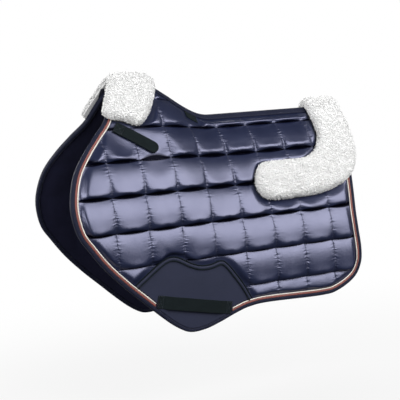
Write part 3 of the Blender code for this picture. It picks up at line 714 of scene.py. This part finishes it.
# quilted cover: one sheet sewn down on its seams and blown up by a cloth simulation
quilt = {
    "cell": 0.00375,       # 20 cells to a tile, so that the seams lie on cell edges
    "cellsAlong": (-146, 50),  # grid lines, past the panel all round
    "cellsDown": (-38, 124),
    "topS": 0.0140,        # from the ridge; the two covers stay clear of each other as the flaps spread
    "inset": 0.0015,
    "thickness": 0.003,
    "edgeBorder": (0.0143, 2.0),   # width of the cloth that is held flat, and how fast it fills out beyond
    "spineBorder": (0.0185, 2.2),
    "borders": {"pommel": (0.0, 1.8), "cantle": (0.0, 1.8), "patch": (0.0032, 1.5), "strap": (0.0006, 0.6),
                "tab": (0.0, 1.5)},
    "columnRise": 0.0072,  # the upright seams are drawn in less than the level ones
    "columnPower": 2.5,    # higher is flatter between two level seams
    "fade": 0.028,
    "fullness": 0.0028,    # height of a tile above its upright seams
    "fullnessPower": 0.60,  # below 1 fills the tiles out towards their seams
    "fullShare": 85,       # percentile of the heights that counts as full
    "mostFull": 1.15,
    "mostShift": 0.003,    # of the cloth along the pattern
    "lip": 0.0050,         # more filling at the lower seams
    "lipPower": 3.5,       # higher keeps it closer to them
    "lipEnds": 0.75,       # below 1 carries it on towards the columns
    "lipFade": 0.03,
    "spareCloth": 0.02,
    "pressure": 6.0,
    "cloth": {"quality": 6, "mass": 0.15, "tension_stiffness": 12, "compression_stiffness": 12,
              "shear_stiffness": 6, "bending_stiffness": 1.0, "air_damping": 2.0},
    "frames": 24,
    "relax": 8,            # steps that even out the smallest wrinkles
    "sink": 0.10,          # share of a tile by which its middle slides down
    "sag": 0.72,           # lean of whatever stands up, so that the lower lips hang over
    "rowCrease": 0.9,
    "columnCrease": 0.7,
    "plainHeight": 0.006,
    "plainPower": 0.4,
}


def quiltCells(q):
    xs = np.arange(*q["cellsAlong"]) * q["cell"]
    vs = shape["firstRow"] + np.arange(*q["cellsDown"]) * q["cell"]
    gx, gv = np.meshgrid(xs, vs, indexing="ij")
    flat = np.stack((gx.ravel(), gv.ravel()), axis=1)
    keep = insideOf(flat, panelOutline(q["topS"], q["inset"]))
    index = np.arange(len(flat)).reshape(gx.shape)
    corners = np.stack((index[:-1, :-1], index[1:, :-1], index[1:, 1:], index[:-1, 1:]), axis=-1).reshape(-1, 4)
    corners = corners[keep[corners].all(axis=1)]
    used, faces = np.unique(corners, return_inverse=True)
    return flat[used], faces.reshape(-1, 4)


def pressedCloth(flat, q):  # how far a point is from cloth that something presses flat; 0 under it
    fromEdge, fromRidge = distanceTo(flat, edgePath(q["topS"])), flat[:, 1] + riseAt(flat[:, 0])
    far = [(gap - width) * haste for gap, (width, haste) in (
        (fromEdge, q["edgeBorder"]), (fromRidge, q["spineBorder"]))]
    for part, outline in outlinesOnCover().items():
        width, haste = q["borders"][part]
        far.append(np.where(insideOf(flat, outline), 0.0, distanceTo(flat, outline, True) - width) * haste)
    return np.maximum(np.min(far, axis=0), 0.0)


def downTile(flat):  # 0 at a tile's upper seam, 1 at its lower seam
    return np.clip((flat[:, 1] - shape["firstRow"] + 1e-9) / shape["tile"] % 1.0, 0, 1)


def seamRise(flat, q, far=None):  # height of the upright seams above the level ones
    far = pressedCloth(flat, q) if far is None else far
    arch = 1 - np.abs(2 * downTile(flat) - 1) ** q["columnPower"]
    return q["columnRise"] * arch * smoothStep(far / q["fade"])


def relaxed(moved, faces, fixed, steps):  # evens out a sheet between the points that are sewn down
    edges = np.vstack([faces[:, [i, (i + 1) % 4]] for i in range(4)])
    edges = np.unique(np.sort(edges, axis=1), axis=0)
    count = np.bincount(edges.ravel(), minlength=len(moved))[:, None]
    for _ in range(steps):
        total = np.zeros_like(moved)
        np.add.at(total, edges[:, 0], moved[edges[:, 1]])
        np.add.at(total, edges[:, 1], moved[edges[:, 0]])
        moved = np.where(fixed[:, None], moved, (moved + total / count) / 2)
    return moved


def onSeams(flat):  # which points lie on a level and on an upright seam
    return fromSeam(flat[:, 1], shape["firstRow"]) < 1e-4, fromSeam(flat[:, 0]) < 1e-4


def puffedCloth(flat, faces, q):
    far = pressedCloth(flat, q)
    base = seamRise(flat, q, far)
    row, column = onSeams(flat)
    fixed = column | row | (far <= 0)
    cloth = addMesh("satinOnTheTable", np.column_stack((flat, base)), faces)
    cloth.vertex_groups.new(name="sewn").add([int(i) for i in np.flatnonzero(fixed)], 1.0, "REPLACE")
    puff = cloth.modifiers.new("puff", "CLOTH")
    for setting, value in q["cloth"].items():
        setattr(puff.settings, setting, value)
    puff.settings.vertex_group_mass = "sewn"
    puff.settings.use_pressure = True
    puff.settings.uniform_pressure_force = q["pressure"]
    puff.settings.shrink_min = -q["spareCloth"]
    puff.settings.effector_weights.gravity = 0
    puff.collision_settings.use_collision = False
    puff.collision_settings.use_self_collision = False
    puff.point_cache.frame_start = 1
    puff.point_cache.frame_end = q["frames"]
    for number in range(1, q["frames"] + 1):
        scene.frame_set(number)
    evaluated = cloth.evaluated_get(bpy.context.evaluated_depsgraph_get())
    result = readAll(evaluated.to_mesh().vertices, "co", 3).astype(float)
    evaluated.to_mesh_clear()
    scene.frame_set(1)
    discard(cloth)
    print("cloth blown up")
    shift = np.clip(result[:, :2] - flat, -q["mostShift"], q["mostShift"])
    result = np.column_stack((shift, np.maximum(result[:, 2] - base, 0)))
    result = relaxed(result, faces, fixed, q["relax"])
    full = np.clip(result[:, 2] / np.percentile(result[~fixed, 2], q["fullShare"]), 0, q["mostFull"])
    down = downTile(flat)
    result[:, :2] += flat
    result[:, 1] += q["sink"] * shape["tile"] * np.sin(math.pi * down) * full
    across = np.abs(np.sin(math.pi * flat[:, 0] / shape["tile"])) ** q["lipEnds"]
    lip = np.sin(math.pi * down ** q["lipPower"]) * across * smoothStep(far / q["lipFade"])
    dome = full ** q["fullnessPower"] * smoothStep(far / q["fade"])
    result[:, 2] = base + q["fullness"] * dome + q["lip"] * lip
    return result


def smoothed(points, faces, seams):  # one subdivision, with the seams kept crisp
    sheet = addMesh("smoothSheet", points, faces)
    edges = readAll(sheet.data.edges, "vertices", 2, np.int32)
    crease = sheet.data.attributes.new("crease_edge", "FLOAT", "EDGE")
    crease.data.foreach_set("value", (seams[edges[:, 0]] * seams[edges[:, 1]]).astype(np.float32))
    finer = sheet.modifiers.new("finer", "SUBSURF")
    finer.levels = finer.render_levels = 1
    finer.boundary_smooth = "PRESERVE_CORNERS"
    edgeNumber = {tuple(sorted(e)): i for i, e in enumerate(edges.tolist())}
    fine = plainCopy(sheet, "smoothCopy")
    places = readAll(fine.data.vertices, "co", 3).astype(float)
    quads = [tuple(f.vertices) for f in fine.data.polygons]
    discard(fine)
    return places, quads, edgeNumber


def makeQuiltedCovers(q):
    flat, faces = quiltCells(q)
    row, column = onSeams(flat)
    crease = np.where(row, q["rowCrease"], column * q["columnCrease"])
    puffed, quads, edgeNumber = smoothed(puffedCloth(flat, faces, q), faces, crease)
    spread = puffed[:, :2].copy()
    puffed[:, 1] += q["sag"] * np.maximum(puffed[:, 2], 0)
    count, coarse = len(puffed), len(flat)
    cells = [tuple(f) for f in faces]
    walls = [(b, coarse + edgeNumber[min(a, b), max(a, b)], a, a + count, b + count) for a, b in openEdges(cells)]
    skin = quads + underside(cells, count) + walls
    nearSeam = 6e-4  # the finer points stray this far from a level seam
    seam = np.append(fromSeam(spread[:, 1], shape["firstRow"]) < nearSeam, np.zeros(coarse, bool))
    for name, side in sides.items():
        points = np.vstack((wrapped(*puffed.T, side), wrapped(*flat.T, -q["thickness"], side)))
        cover = addMesh(f"{name}QuiltedCover", points, skin, side, np.vstack((spread, flat)))
        sharp = seam[readAll(cover.data.edges, "vertices", 2, np.int32)].all(axis=1)
        cover.data.attributes.new("sharp_edge", "BOOLEAN", "EDGE").data.foreach_set("value", sharp)
        dress(cover, "navy_satin", f"{name}_flap", f"{name}_quilted_cover")
    print("quilted covers", count, "points each")


makeQuiltedCovers(quilt)

# foam and lining behind the cover
inner = {
    "coreTopS": 0.0170, "liningTopS": 0.0205, "inset": 0.0015, "coreStep": 0.014, "liningStep": 0.0075,
    "coreTop": -0.0036, "coreBottom": -0.0076, "liningTop": -0.0082, "liningBottom": -0.0094,
    "dimple": 0.0028, "dimplePower": 0.7, "dimpleBorder": 0.012, "dimpleFade": 0.02,
}


def makeInnerLayers(layer):
    core = flatPiece(panelOutline(layer["coreTopS"], layer["inset"]), layer["coreStep"])
    lining = flatPiece(panelOutline(layer["liningTopS"], layer["inset"]), layer["liningStep"])
    wave = tileWave(*lining["points"].T) ** layer["dimplePower"]
    soft = layer["dimple"] * wave * smoothStep((lining["depth"] - layer["dimpleBorder"]) / layer["dimpleFade"])
    for name, side in sides.items():
        foam = closedBody(f"{name}FoamCore", core, layer["coreTop"], layer["coreBottom"], side)
        dress(foam, "foam", f"{name}_flap", f"{name}_foam_core")
        cloth = closedBody(f"{name}Lining", lining, layer["liningTop"] - soft, layer["liningBottom"] - soft, side)
        dress(cloth, "lining_cotton", f"{name}_flap", f"{name}_lining")
    print("foam and lining")


makeInnerLayers(inner)


# binding round the edge and the two pipings beside it
def makeEdges(b, p):
    edge = edgePath(b["topS"], b["step"])
    w, t, g, low = b["width"], b["thickness"], b["gap"], b["low"]
    # the folded tape in section, with its corners rounded
    profile = [(-w, g), (-w, g + t * 0.7), (-w + 0.0006, g + t), (-w / 2, g + t + 0.0004), (-0.0006, g + t),
               (g + t * 0.75, g + t * 0.45), (g + t, g - 0.0010), (g + t, low + 0.0008),
               (g + t * 0.6, low - t * 0.7), (-0.0006, low - t), (-w + 0.0006, low - t),
               (-w, low - t * 0.7), (-w, low), (g, low), (g, g)]
    for name, side in sides.items():
        tape = sweep(f"{name}EdgeBinding", edge, profile, side)
        dress(tape, "binding_tape", f"{name}_flap", f"{name}_edge_binding")
        for colour in ("copper", "cream"):
            inset, half = p[colour]
            track = offsetPath(edge, -inset)
            for end, part in ((1, "rear"), (-1, "front")):
                run = evenPath(beyondKeeper(track, end, p["endGap"]), p["step"])
                line = sweep(f"{name}{colour.title()}Piping{part.title()}", run,
                             roundProfile(half, p["height"], p["corners"], p["halfHeight"]), side)
                dress(line, f"{colour}_cord", f"{name}_flap", f"{name}_{colour}_piping_{part}")
    print("binding and piping")


makeEdges(bindingShape, pipingShape)


# girth patch with its rolled top edge, cords and keeper
def makeGirthPatches(p):
    outline = patchOutline()
    top = smoothPath(p["top"])
    piece = flatPiece(outline, p["step"], p["rings"])
    fromTop = distanceTo(piece["points"], top)
    turn = np.clip((fromTop - p["rollStart"]) / (p["rollPitch"] - p["rollEnd"]), 0, 1)
    level = onCover + p["thickness"]
    height = rounded(piece, level, p["softness"]) + p["roll"] * np.clip(np.sin(math.pi * turn), 0, 1)
    radius, gap = p["cordRadius"], p["cordGap"]
    for name, side in sides.items():
        patch = closedBody(f"{name}GirthPatch", piece, height, onCover, side)
        dress(patch, "slate_patch", f"{name}_flap", f"{name}_girth_patch")
        for part, away, low in (("Outer", radius + gap, gap), ("Inner", -p["rollPitch"], level + gap)):
            cord = sweep(f"{name}PatchCord{part}", offsetPath(top, away), roundProfile(radius, low), side)
            dress(cord, "dark_webbing", f"{name}_flap", f"{name}_patch_cord_{part.lower()}")
    print("girth patches")


makeGirthPatches(patchShape)


def makeKeepers(k):
    along = heading(k["angle"])[0]
    start = k["centre"] - along * k["length"] / 2
    piece = stripPiece(stripOutline(start, k["angle"], k["length"], k["width"]))
    run = np.abs((piece["points"] - np.array(k["centre"])) @ along)
    lift = k["rise"] * smoothStep((k["length"] / 2 - k["sewnEnd"] - run) / k["ramp"])
    top = rounded(piece, k["bottom"] + k["thickness"], stripShape["softness"]) + lift
    for name, side in sides.items():
        keeper = closedBody(f"{name}GirthKeeper", piece, top, k["bottom"] + lift, side)
        dress(keeper, "dark_webbing", f"{name}_flap", f"{name}_girth_keeper")
    print("girth keepers")


makeKeepers(keeperShape)


# billet straps and the tab at the wither
def makeStraps(s):
    along = heading(s["angle"])[0]
    hinge, free = s["start"] + along * s["sewnEnd"], s["length"] - s["sewnEnd"]
    patchStart = hinge + along * (free - s["width"] / 2 - s["hookLength"])
    sewn = stripPiece(stripOutline(s["start"], s["angle"], s["sewnEnd"] - s["gap"], s["width"]))
    strap = stripPiece(stripOutline(hinge, s["angle"], free, s["width"], True))
    pad = flatPiece(stripOutline(patchStart, s["angle"], s["hookLength"], s["hookWidth"]), stripShape["step"])
    level, softness = s["bottom"] + s["thickness"], stripShape["softness"]
    for name, side in sides.items():
        for part, piece, top, bottom, slot, body in (
            ("strap sewn end", sewn, rounded(sewn, level, softness), onCover, "dark_webbing", "flap"),
            ("billet strap", strap, rounded(strap, level, softness), s["bottom"], "dark_webbing", "strap"),
            ("strap hook patch", pad, *s["hook"], "hook_and_loop", "strap"),
            ("strap loop patch", pad, *s["loop"], "hook_and_loop", "flap"),
        ):
            obj = closedBody(name + part.title().replace(" ", ""), piece, top, bottom, side)
            dress(obj, slot, f"{name}_{body}", f"{name}_{part.replace(' ', '_')}")
    tab = stripPiece(tabOutline())
    top = rounded(tab, onCover + tabShape["thickness"], softness)
    loop = closedBody("witherTab", tab, top, onCover, sides["left"])
    dress(loop, "dark_webbing", "left_flap", "wither_tab")
    print("straps and tab")


makeStraps(strapShape)

# spine: the binding over the seam, one half on each side, and the webbing under it
spine = {"half": 0.018, "bottom": 0.00045, "thickness": 0.0015, "front": -0.3692, "rear": 0.1582,
         "softness": 0.0008, "step": 0.0035, "rings": (0.0005, 0.0012),
         "webbingHalf": 0.0055, "webbingThickness": 0.0015, "webbingSteps": 120}


def makeSpine(sp):
    rim = ridgePath(sp["front"], sp["rear"], sp["half"], 0.004)
    outline = np.vstack((rim, ridgePath(sp["rear"], sp["front"], 0.0, 0.004)))
    piece = flatPiece(outline[::-1], sp["step"], sp["rings"], rim[::-1])
    top = rounded(piece, sp["bottom"] + sp["thickness"], sp["softness"])
    for name, side in sides.items():
        tape = closedBody(f"{name}SpineBinding", piece, top, sp["bottom"], side)
        dress(tape, "binding_tape", None, "spine_binding")
        bendWithFlap(tape)
    x = np.linspace(sp["front"], sp["rear"], sp["webbingSteps"])
    base = wrapped(x, -riseAt(x), np.zeros_like(x), 1)[:, 2] - shape["ridgeHeight"]
    w, t = sp["webbingHalf"], sp["webbingThickness"]
    y, z = np.array([(-w, 0), (w, 0), (w, t), (-w, t)]).T
    rings = np.stack(np.broadcast_arrays(x[:, None], y, base[:, None] + z), axis=-1)
    strip = tube("spineWebbing", rings, 1, rings[..., :2])
    dress(strip, "dark_webbing", "spine", "spine_webbing")
    print("spine")


makeSpine(spine)

# fleece rolls: a rounded body with a pile of small curled locks on it
fleece = {
    "bottom": 0.0032,
    "loft": 0.0205,
    "rimLoft": 0.0045,
    "roundness": 0.017,
    "crownPower": 2.3,
    "lump": 0.0016,
    "lumps": ((0.030, 3, 0.8), (0.012, 5, 0.5)),  # size, seed and share of each kind
    "step": 0.0042,
    "rings": (0.0008, 0.0024, 0.0050, 0.0085),
    "pileDensity": 280000.0,   # locks to a square metre
    "pileDepth": 0.0008,       # how deep the locks are rooted
    "lockSizes": (0.75, 1.3),
    "lockLength": 0.0058,
    "lockRadius": 0.0012,
    "lockBend": 1.9,           # turn of a lock from root to tip, in radians
    "lockLevels": 4,
    "lean": 0.75,
    "seed": 11,
    "bendReach": 0.045,
}


def lockMesh(f):  # one lock of wool: a tapered curl with three sides
    bm = bmesh.new()
    rings, size, last = [], f["lockLength"], f["lockLevels"] - 1
    for i in range(last + 1):
        t = i / last
        bend = f["lockBend"] * t
        # forward, sideways and upward, as shares of its length
        centre = Vector((0.42 * (1 - math.cos(bend)), 0.12 * math.sin(3 * t), 0.5 * math.sin(bend))) * size
        if i == last:
            rings.append([bm.verts.new(centre)])
            continue
        radius = f["lockRadius"] * (1 - t) ** 0.55 * (0.75 + 0.6 * t)
        sideways = Vector((0, 1, 0))
        upward = Vector((math.sin(bend), 0, math.cos(bend))).cross(sideways)
        rings.append([bm.verts.new(centre + (sideways * math.cos(a) + upward * math.sin(a)) * radius)
                      for a in (2 * math.pi * k / 3 + 0.6 * i for k in range(3))])
    for low, high in zip(rings, rings[1:]):
        for k in range(3):
            corners = [low[k], low[(k + 1) % 3], high[(k + 1) % len(high)], high[k % len(high)]]
            bm.faces.new(list(dict.fromkeys(corners)))
    bmesh.ops.recalc_face_normals(bm, faces=bm.faces[:])
    mesh = bpy.data.meshes.new("woolLock")
    bm.to_mesh(mesh)
    bm.free()
    mesh.polygons.foreach_set("use_smooth", [True] * len(mesh.polygons))
    return bpy.data.objects.new("woolLock", mesh)


def endTree(tree, instances, finish):  # what repeats becomes one plain, finished mesh
    made = instances
    for kind, inputs in (("RealizeInstances", {}), ("SetShadeSmooth", {}), ("SetMaterial", {"Material": finish})):
        made = addNode(tree, f"GeometryNode{kind}", {"Geometry": made, **inputs}).outputs["Geometry"]
    addNode(tree, "NodeGroupOutput", {"Geometry": made})
    return tree


def pileTree():
    tree, into = newTree("fleecePile", "GeometryNodeTree", {
        "Geometry": "Geometry", "Lock": "Object", "Density": "Float", "Lean": "Float", "Smallest": "Float",
        "Largest": "Float", "Seed": "Int", "Finish": "Material"}, {"Geometry": "Geometry"})
    lean, seed = into["Lean"], into["Seed"]
    scatter = addNode(tree, "GeometryNodeDistributePointsOnFaces", {
        "Mesh": into["Geometry"], "Density": into["Density"], "Seed": seed}).outputs
    lock = addNode(tree, "GeometryNodeObjectInfo", {"Object": into["Lock"]}).outputs["Geometry"]
    back = calculator(tree)("MULTIPLY", lean, -1.0)
    low = addNode(tree, "ShaderNodeCombineXYZ", {"X": back, "Y": back}).outputs[0]
    high = addNode(tree, "ShaderNodeCombineXYZ", {"X": lean, "Y": lean, "Z": 2 * math.pi}).outputs[0]
    tilt = addNode(tree, "FunctionNodeRandomValue", data_type="FLOAT_VECTOR", inputs={
        "Min": low, "Max": high, "Seed": seed}).outputs["Value"]
    size = addNode(tree, "FunctionNodeRandomValue", data_type="FLOAT", inputs={
        "Min": into["Smallest"], "Max": into["Largest"]}).outputs["Value"]
    turn = addNode(tree, "FunctionNodeRotateRotation", rotation_space="LOCAL", inputs={
        "Rotation": scatter["Rotation"], "Rotate By": tilt}).outputs["Rotation"]
    place = addNode(tree, "GeometryNodeInstanceOnPoints", {
        "Points": scatter["Points"], "Instance": lock, "Rotation": turn, "Scale": size})
    return endTree(tree, place.outputs["Instances"], into["Finish"])


def grown(obj, name, tree, values):  # the plain result of a node tree, whose inputs are given by name
    modifier = obj.modifiers.new("grown", "NODES")
    modifier.node_group = tree
    for item in tree.interface.items_tree:
        if item.item_type == "SOCKET" and item.in_out == "INPUT" and item.name in values:
            modifier[item.identifier] = values[item.name]
    return plainCopy(obj, name)


def lumps(points, size, seed):  # smooth unevenness from a few waves, the same on every run
    rng = np.random.default_rng(seed)
    total, waves = np.zeros(len(points)), 14
    for _ in range(waves):
        angle, phase = rng.uniform(0, 2 * math.pi, 2)
        length = size * rng.uniform(0.6, 1.7)
        total += np.sin((points @ heading(angle)[0]) * 2 * math.pi / length + phase)
    return total / waves**0.5


def makeFleece(f):
    tree = pileTree()
    smallest, largest = f["lockSizes"]
    pileInputs = {"Lock": lockMesh(f), "Density": f["pileDensity"], "Lean": f["lean"], "Smallest": smallest,
                  "Largest": largest, "Finish": finishes["white_fleece"]}
    for part in fleeceShape:
        piece = flatPiece(fleeceOutline(part), f["step"], f["rings"], fleeceRim(part))
        flat = piece["points"]
        crown = (1 - (1 - np.clip(piece["depth"] / f["roundness"], 0, 1)) ** f["crownPower"]) ** 0.5
        uneven = sum(lumps(flat, size, seed) * share for size, seed, share in f["lumps"])
        height = f["bottom"] + f["rimLoft"] + (f["loft"] - f["rimLoft"]) * crown + f["lump"] * crown * uneven
        for name, side in sides.items():
            body = closedBody(f"{name}{part.title()}Fleece", piece, height, f["bottom"], side)
            dress(body, "white_fleece", None, f"{name}_{part}_fleece")
            skin = addMesh("fleeceSkin", wrapped(*flat.T, height - f["pileDepth"], side), piece["faces"], side)
            locks = grown(skin, f"{name}{part.title()}Pile", tree, {**pileInputs, "Seed": f["seed"] + side})
            bendWithFlap(body)
            bendWithFlap(locks)
            print(part, name, "locks' faces", len(locks.data.polygons))


makeFleece(fleece)

feltShape = {"margin": 0.0015, "fromEdge": 0.0185, "ridgeS": 0.018, "topS": 0.0185, "top": 0.0029, "step": 0.009}


def makeFelts(f):
    for part in fleeceShape:
        rim = offsetPath(fleeceRim(part), f["margin"])
        keep = (distanceTo(rim, edgePath()) > f["fromEdge"]) & insideOf(rim, panelOutline(f["ridgeS"]))
        rim = rim[keep & (rim[:, 1] + riseAt(rim[:, 0]) > f["topS"])]
        ends = ridgePath(rim[-1][0], rim[0][0], f["topS"])
        piece = flatPiece(np.vstack((rim, ends[1:-1])), f["step"])
        for name, side in sides.items():
            felt = closedBody(f"{name}{part.title()}Felt", piece, f["top"], onCover, side)
            dress(felt, "dark_felt", f"{name}_flap", f"{name}_{part}_felt")
    print("felts")


makeFelts(feltShape)

# stitching
stitches = {
    "quilting": {"Spacing": 0.0040, "Length": 0.0029, "Radius": 0.00032},
    "edges": {"Spacing": 0.0034, "Length": 0.0026, "Radius": 0.00035},
    "columns": range(-7, 3),
    "rows": range(-1, 7),
    "span": ((-0.54, 0.18), (-0.09, 0.50)),  # along and down, past the panel all round
    "step": 0.0015,
    "fromEdge": 0.0145,
    "margins": {"pommel": 0.001, "cantle": 0.001, "patch": 0.004, "strap": 0.001, "tab": 0.001},
    "shortest": 6,         # points in a run
    "proud": 0.0001,       # height above the cloth
    "tapePath": (0.026, 0.003),       # start below the ridge, step
    "tapeInset": 0.0014,
    "keeperInset": (0.0015, 0.0020),  # from the ends and from the long edges
    "strapInset": (0.0020, 0.0025),
    "spineLine": 0.0150,
    "spineInset": 0.002,
    "spineStep": 0.003,
}


def stitchTree():
    tree, into = newTree("threadStitches", "GeometryNodeTree", {
        "Geometry": "Geometry", "Spacing": "Float", "Length": "Float", "Radius": "Float", "Finish": "Material",
    }, {"Geometry": "Geometry"})
    curve = addNode(tree, "GeometryNodeMeshToCurve", {"Mesh": into["Geometry"]}).outputs["Curve"]
    steps = addNode(tree, "GeometryNodeResampleCurve", mode="LENGTH", inputs={
        "Curve": curve, "Length": into["Spacing"]}).outputs["Curve"]
    ball = addNode(tree, "GeometryNodeMeshIcoSphere", {"Radius": 1.0, "Subdivisions": 1}).outputs["Mesh"]
    half, radius = calculator(tree)("MULTIPLY", into["Length"], 0.5), into["Radius"]
    scale = addNode(tree, "ShaderNodeCombineXYZ", {"X": radius, "Y": radius, "Z": half}).outputs[0]
    stitch = addNode(tree, "GeometryNodeTransform", {"Geometry": ball, "Scale": scale}).outputs["Geometry"]
    tangent = addNode(tree, "GeometryNodeInputTangent").outputs[0]
    turn = addNode(tree, "FunctionNodeAlignRotationToVector", {"Vector": tangent}, axis="Z").outputs["Rotation"]
    place = addNode(tree, "GeometryNodeInstanceOnPoints", {"Points": steps, "Instance": stitch, "Rotation": turn})
    return endTree(tree, place.outputs["Instances"], into["Finish"])


sewingTree = stitchTree()


def sew(name, lines, side, size):  # lines are runs of (x, v, n)
    points, edges = [], []
    for line in lines:
        start = len(points)
        points += [tuple(p) for p in wrapped(*np.asarray(line).T, side)]
        edges += [(i, i + 1) for i in range(start, len(points) - 1)]
    mesh = bpy.data.meshes.new(name)
    mesh.from_pydata(points, edges, [])
    rows = grown(addObject(name, mesh), name, sewingTree, {**size, "Finish": navyThread})
    return rows


def freeRuns(line, free, shortest):  # the stretches of a line where it may be sewn
    runs, current = [], []
    for point, ok in zip(line, free):
        if ok:
            current.append(point)
        elif current:
            runs.append(current)
            current = []
    return [r for r in runs + [current] if len(r) >= shortest]


def atHeight(line, height):
    return np.column_stack((line, np.broadcast_to(height, len(line))))


def seamLines(q, s):
    (front, rear), (top, bottom) = s["span"]
    xs, vs = np.arange(front, rear, s["step"]), np.arange(top, bottom, s["step"])
    lines = [np.stack((np.full_like(vs, k * shape["tile"]), vs), axis=1) for k in s["columns"]]
    lines += [np.stack((xs, np.full_like(xs, shape["firstRow"] + k * shape["tile"])), axis=1) for k in s["rows"]]
    edge, panel, covers = edgePath(), panelOutline(), outlinesOnCover()
    runs = []
    for line in lines:
        free = insideOf(line, panel) & (distanceTo(line, edge) > s["fromEdge"])
        for part, outline in covers.items():
            free &= ~insideOf(line, outline) & (distanceTo(line, outline, True) > s["margins"][part])
        for run in freeRuns(line, free, s["shortest"]):
            run = np.array(run)
            height = seamRise(run, q)
            run[:, 1] += q["sag"] * height
            runs.append(atHeight(run, height + s["proud"]))
    return runs


def boxLines(strip, near, length, inset, step):  # a sewn square with a cross in it, on one end of a strip
    along, across = heading(strip["angle"])
    half = across * (strip["width"] / 2 - inset[1])
    start, out = near + along * inset[0], along * (length - 2 * inset[0])
    corners = [start - half, start + half, start + half + out, start - half + out]
    runs = (evenPath(np.array(run), step) for run in (corners + corners[:1], corners[::2], corners[1::2]))
    return [atHeight(run, strip["bottom"] + strip["thickness"]) for run in runs]


def makeStitching(s):
    b, k, st = bindingShape, keeperShape, strapShape
    seams = seamLines(quilt, s)
    tape = offsetPath(edgePath(*s["tapePath"]), s["tapeInset"] - b["width"])
    sewn = [atHeight(tape, b["gap"] + b["thickness"] + s["proud"]), atHeight(tape, b["low"] - b["thickness"])]
    along, sewnEnd = heading(k["angle"])[0], k["sewnEnd"]
    for out in (-k["length"] / 2, k["length"] / 2 - sewnEnd):
        sewn += boxLines(k, k["centre"] + along * out, sewnEnd, s["keeperInset"], s["step"])
    sewn += boxLines(st, st["start"], st["sewnEnd"], s["strapInset"], s["step"])
    x = np.arange(spine["front"] + s["spineInset"], spine["rear"] - s["spineInset"], s["spineStep"])
    line = np.column_stack((x, s["spineLine"] - riseAt(x)))
    line = [atHeight(line, spine["bottom"] + spine["thickness"])]
    for name, side in sides.items():
        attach(sew(f"{name}QuiltStitches", seams, side, s["quilting"]), f"{name}_flap")
        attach(sew(f"{name}EdgeStitches", sewn, side, s["edges"]), f"{name}_flap")
        bendWithFlap(sew(f"{name}SpineStitches", line, side, s["edges"]))
    print("stitching")


makeStitching(stitches)

# floor, lamps and sky
studio = {
    "floorPlace": (-0.15, 0, -0.64), "floorSize": 40.0, "floorShade": 0.06, "floorSeen": 0.5, "sky": 0.09,
    "shadowReach": (0.2, 1.5), "shadowGlow": 0.80, "lampTarget": (-0.2, 0, -0.18),
    "lamps": {
        "key": {"place": (1.05, -2.35, 1.30), "size": (3.4, 2.2), "power": 128.0},
        "fill": {"place": (-2.6, -1.2, 0.7), "size": (1.6, 1.6), "power": 50.0},
        "back": {"place": (-0.5, 2.35, 1.10), "size": (3.4, 2.2), "power": 110.0},
    },
}


def makeStudio(s):
    paleFloor = bpy.data.materials.new("paleFloor")
    paleFloor.use_nodes = True
    tree = paleFloor.node_tree
    tree.nodes.clear()
    seen = addNode(tree, "ShaderNodeLightPath").outputs["Is Camera Ray"]
    shade = addNode(tree, "ShaderNodeMapRange", {
        "Value": seen, "To Min": s["floorShade"], "To Max": s["floorSeen"]})
    paint = addNode(tree, "ShaderNodeBsdfDiffuse", {"Color": shade.outputs["Result"]})
    glow = addNode(tree, "ShaderNodeEmission", {"Color": (1, 1, 1, 1)})
    coords = addNode(tree, "ShaderNodeTexCoord").outputs["Object"]
    far = addNode(tree, "ShaderNodeVectorMath", {0: coords}, operation="LENGTH").outputs["Value"]
    start, end = s["shadowReach"]
    fade = addNode(tree, "ShaderNodeMapRange", interpolation_type="SMOOTHSTEP", inputs={
        "Value": far, "From Min": start, "From Max": end, "To Min": s["shadowGlow"]})
    share = calculator(tree)("MULTIPLY", seen, fade.outputs["Result"])
    mix = addNode(tree, "ShaderNodeMixShader", {0: share, 1: paint.outputs[0], 2: glow.outputs[0]})
    addNode(tree, "ShaderNodeOutputMaterial", {"Surface": mix.outputs[0]})
    mesh = bpy.data.meshes.new("floor")
    e = s["floorSize"]
    mesh.from_pydata([(-e, -e, 0), (e, -e, 0), (e, e, 0), (-e, e, 0)], [], [(0, 1, 2, 3)])
    mesh.materials.append(paleFloor)
    floor = addObject("floor", mesh)
    floor.location = s["floorPlace"]
    for name, lamp in s["lamps"].items():
        light = bpy.data.lights.new(f"{name}Lamp", "AREA")
        light.shape, light.energy = "RECTANGLE", lamp["power"]
        light.size, light.size_y = lamp["size"]
        obj = addObject(f"{name}Lamp", light)
        obj.location = lamp["place"]
        obj.rotation_euler = (Vector(s["lampTarget"]) - obj.location).to_track_quat("-Z", "Y").to_euler()
    world = bpy.data.worlds.new("paleSky")
    scene.world = world
    world.use_nodes = True
    tree = world.node_tree
    sky = tree.nodes["Background"]
    sky.inputs["Color"].default_value = (1, 1, 1, 1)
    seen = addNode(tree, "ShaderNodeLightPath").outputs["Is Camera Ray"]
    level = addNode(tree, "ShaderNodeMapRange", {"Value": seen, "To Min": s["sky"]})
    tree.links.new(level.outputs["Result"], sky.inputs["Strength"])
    scene.view_settings.view_transform = "Standard"
    print("studio")


makeStudio(studio)
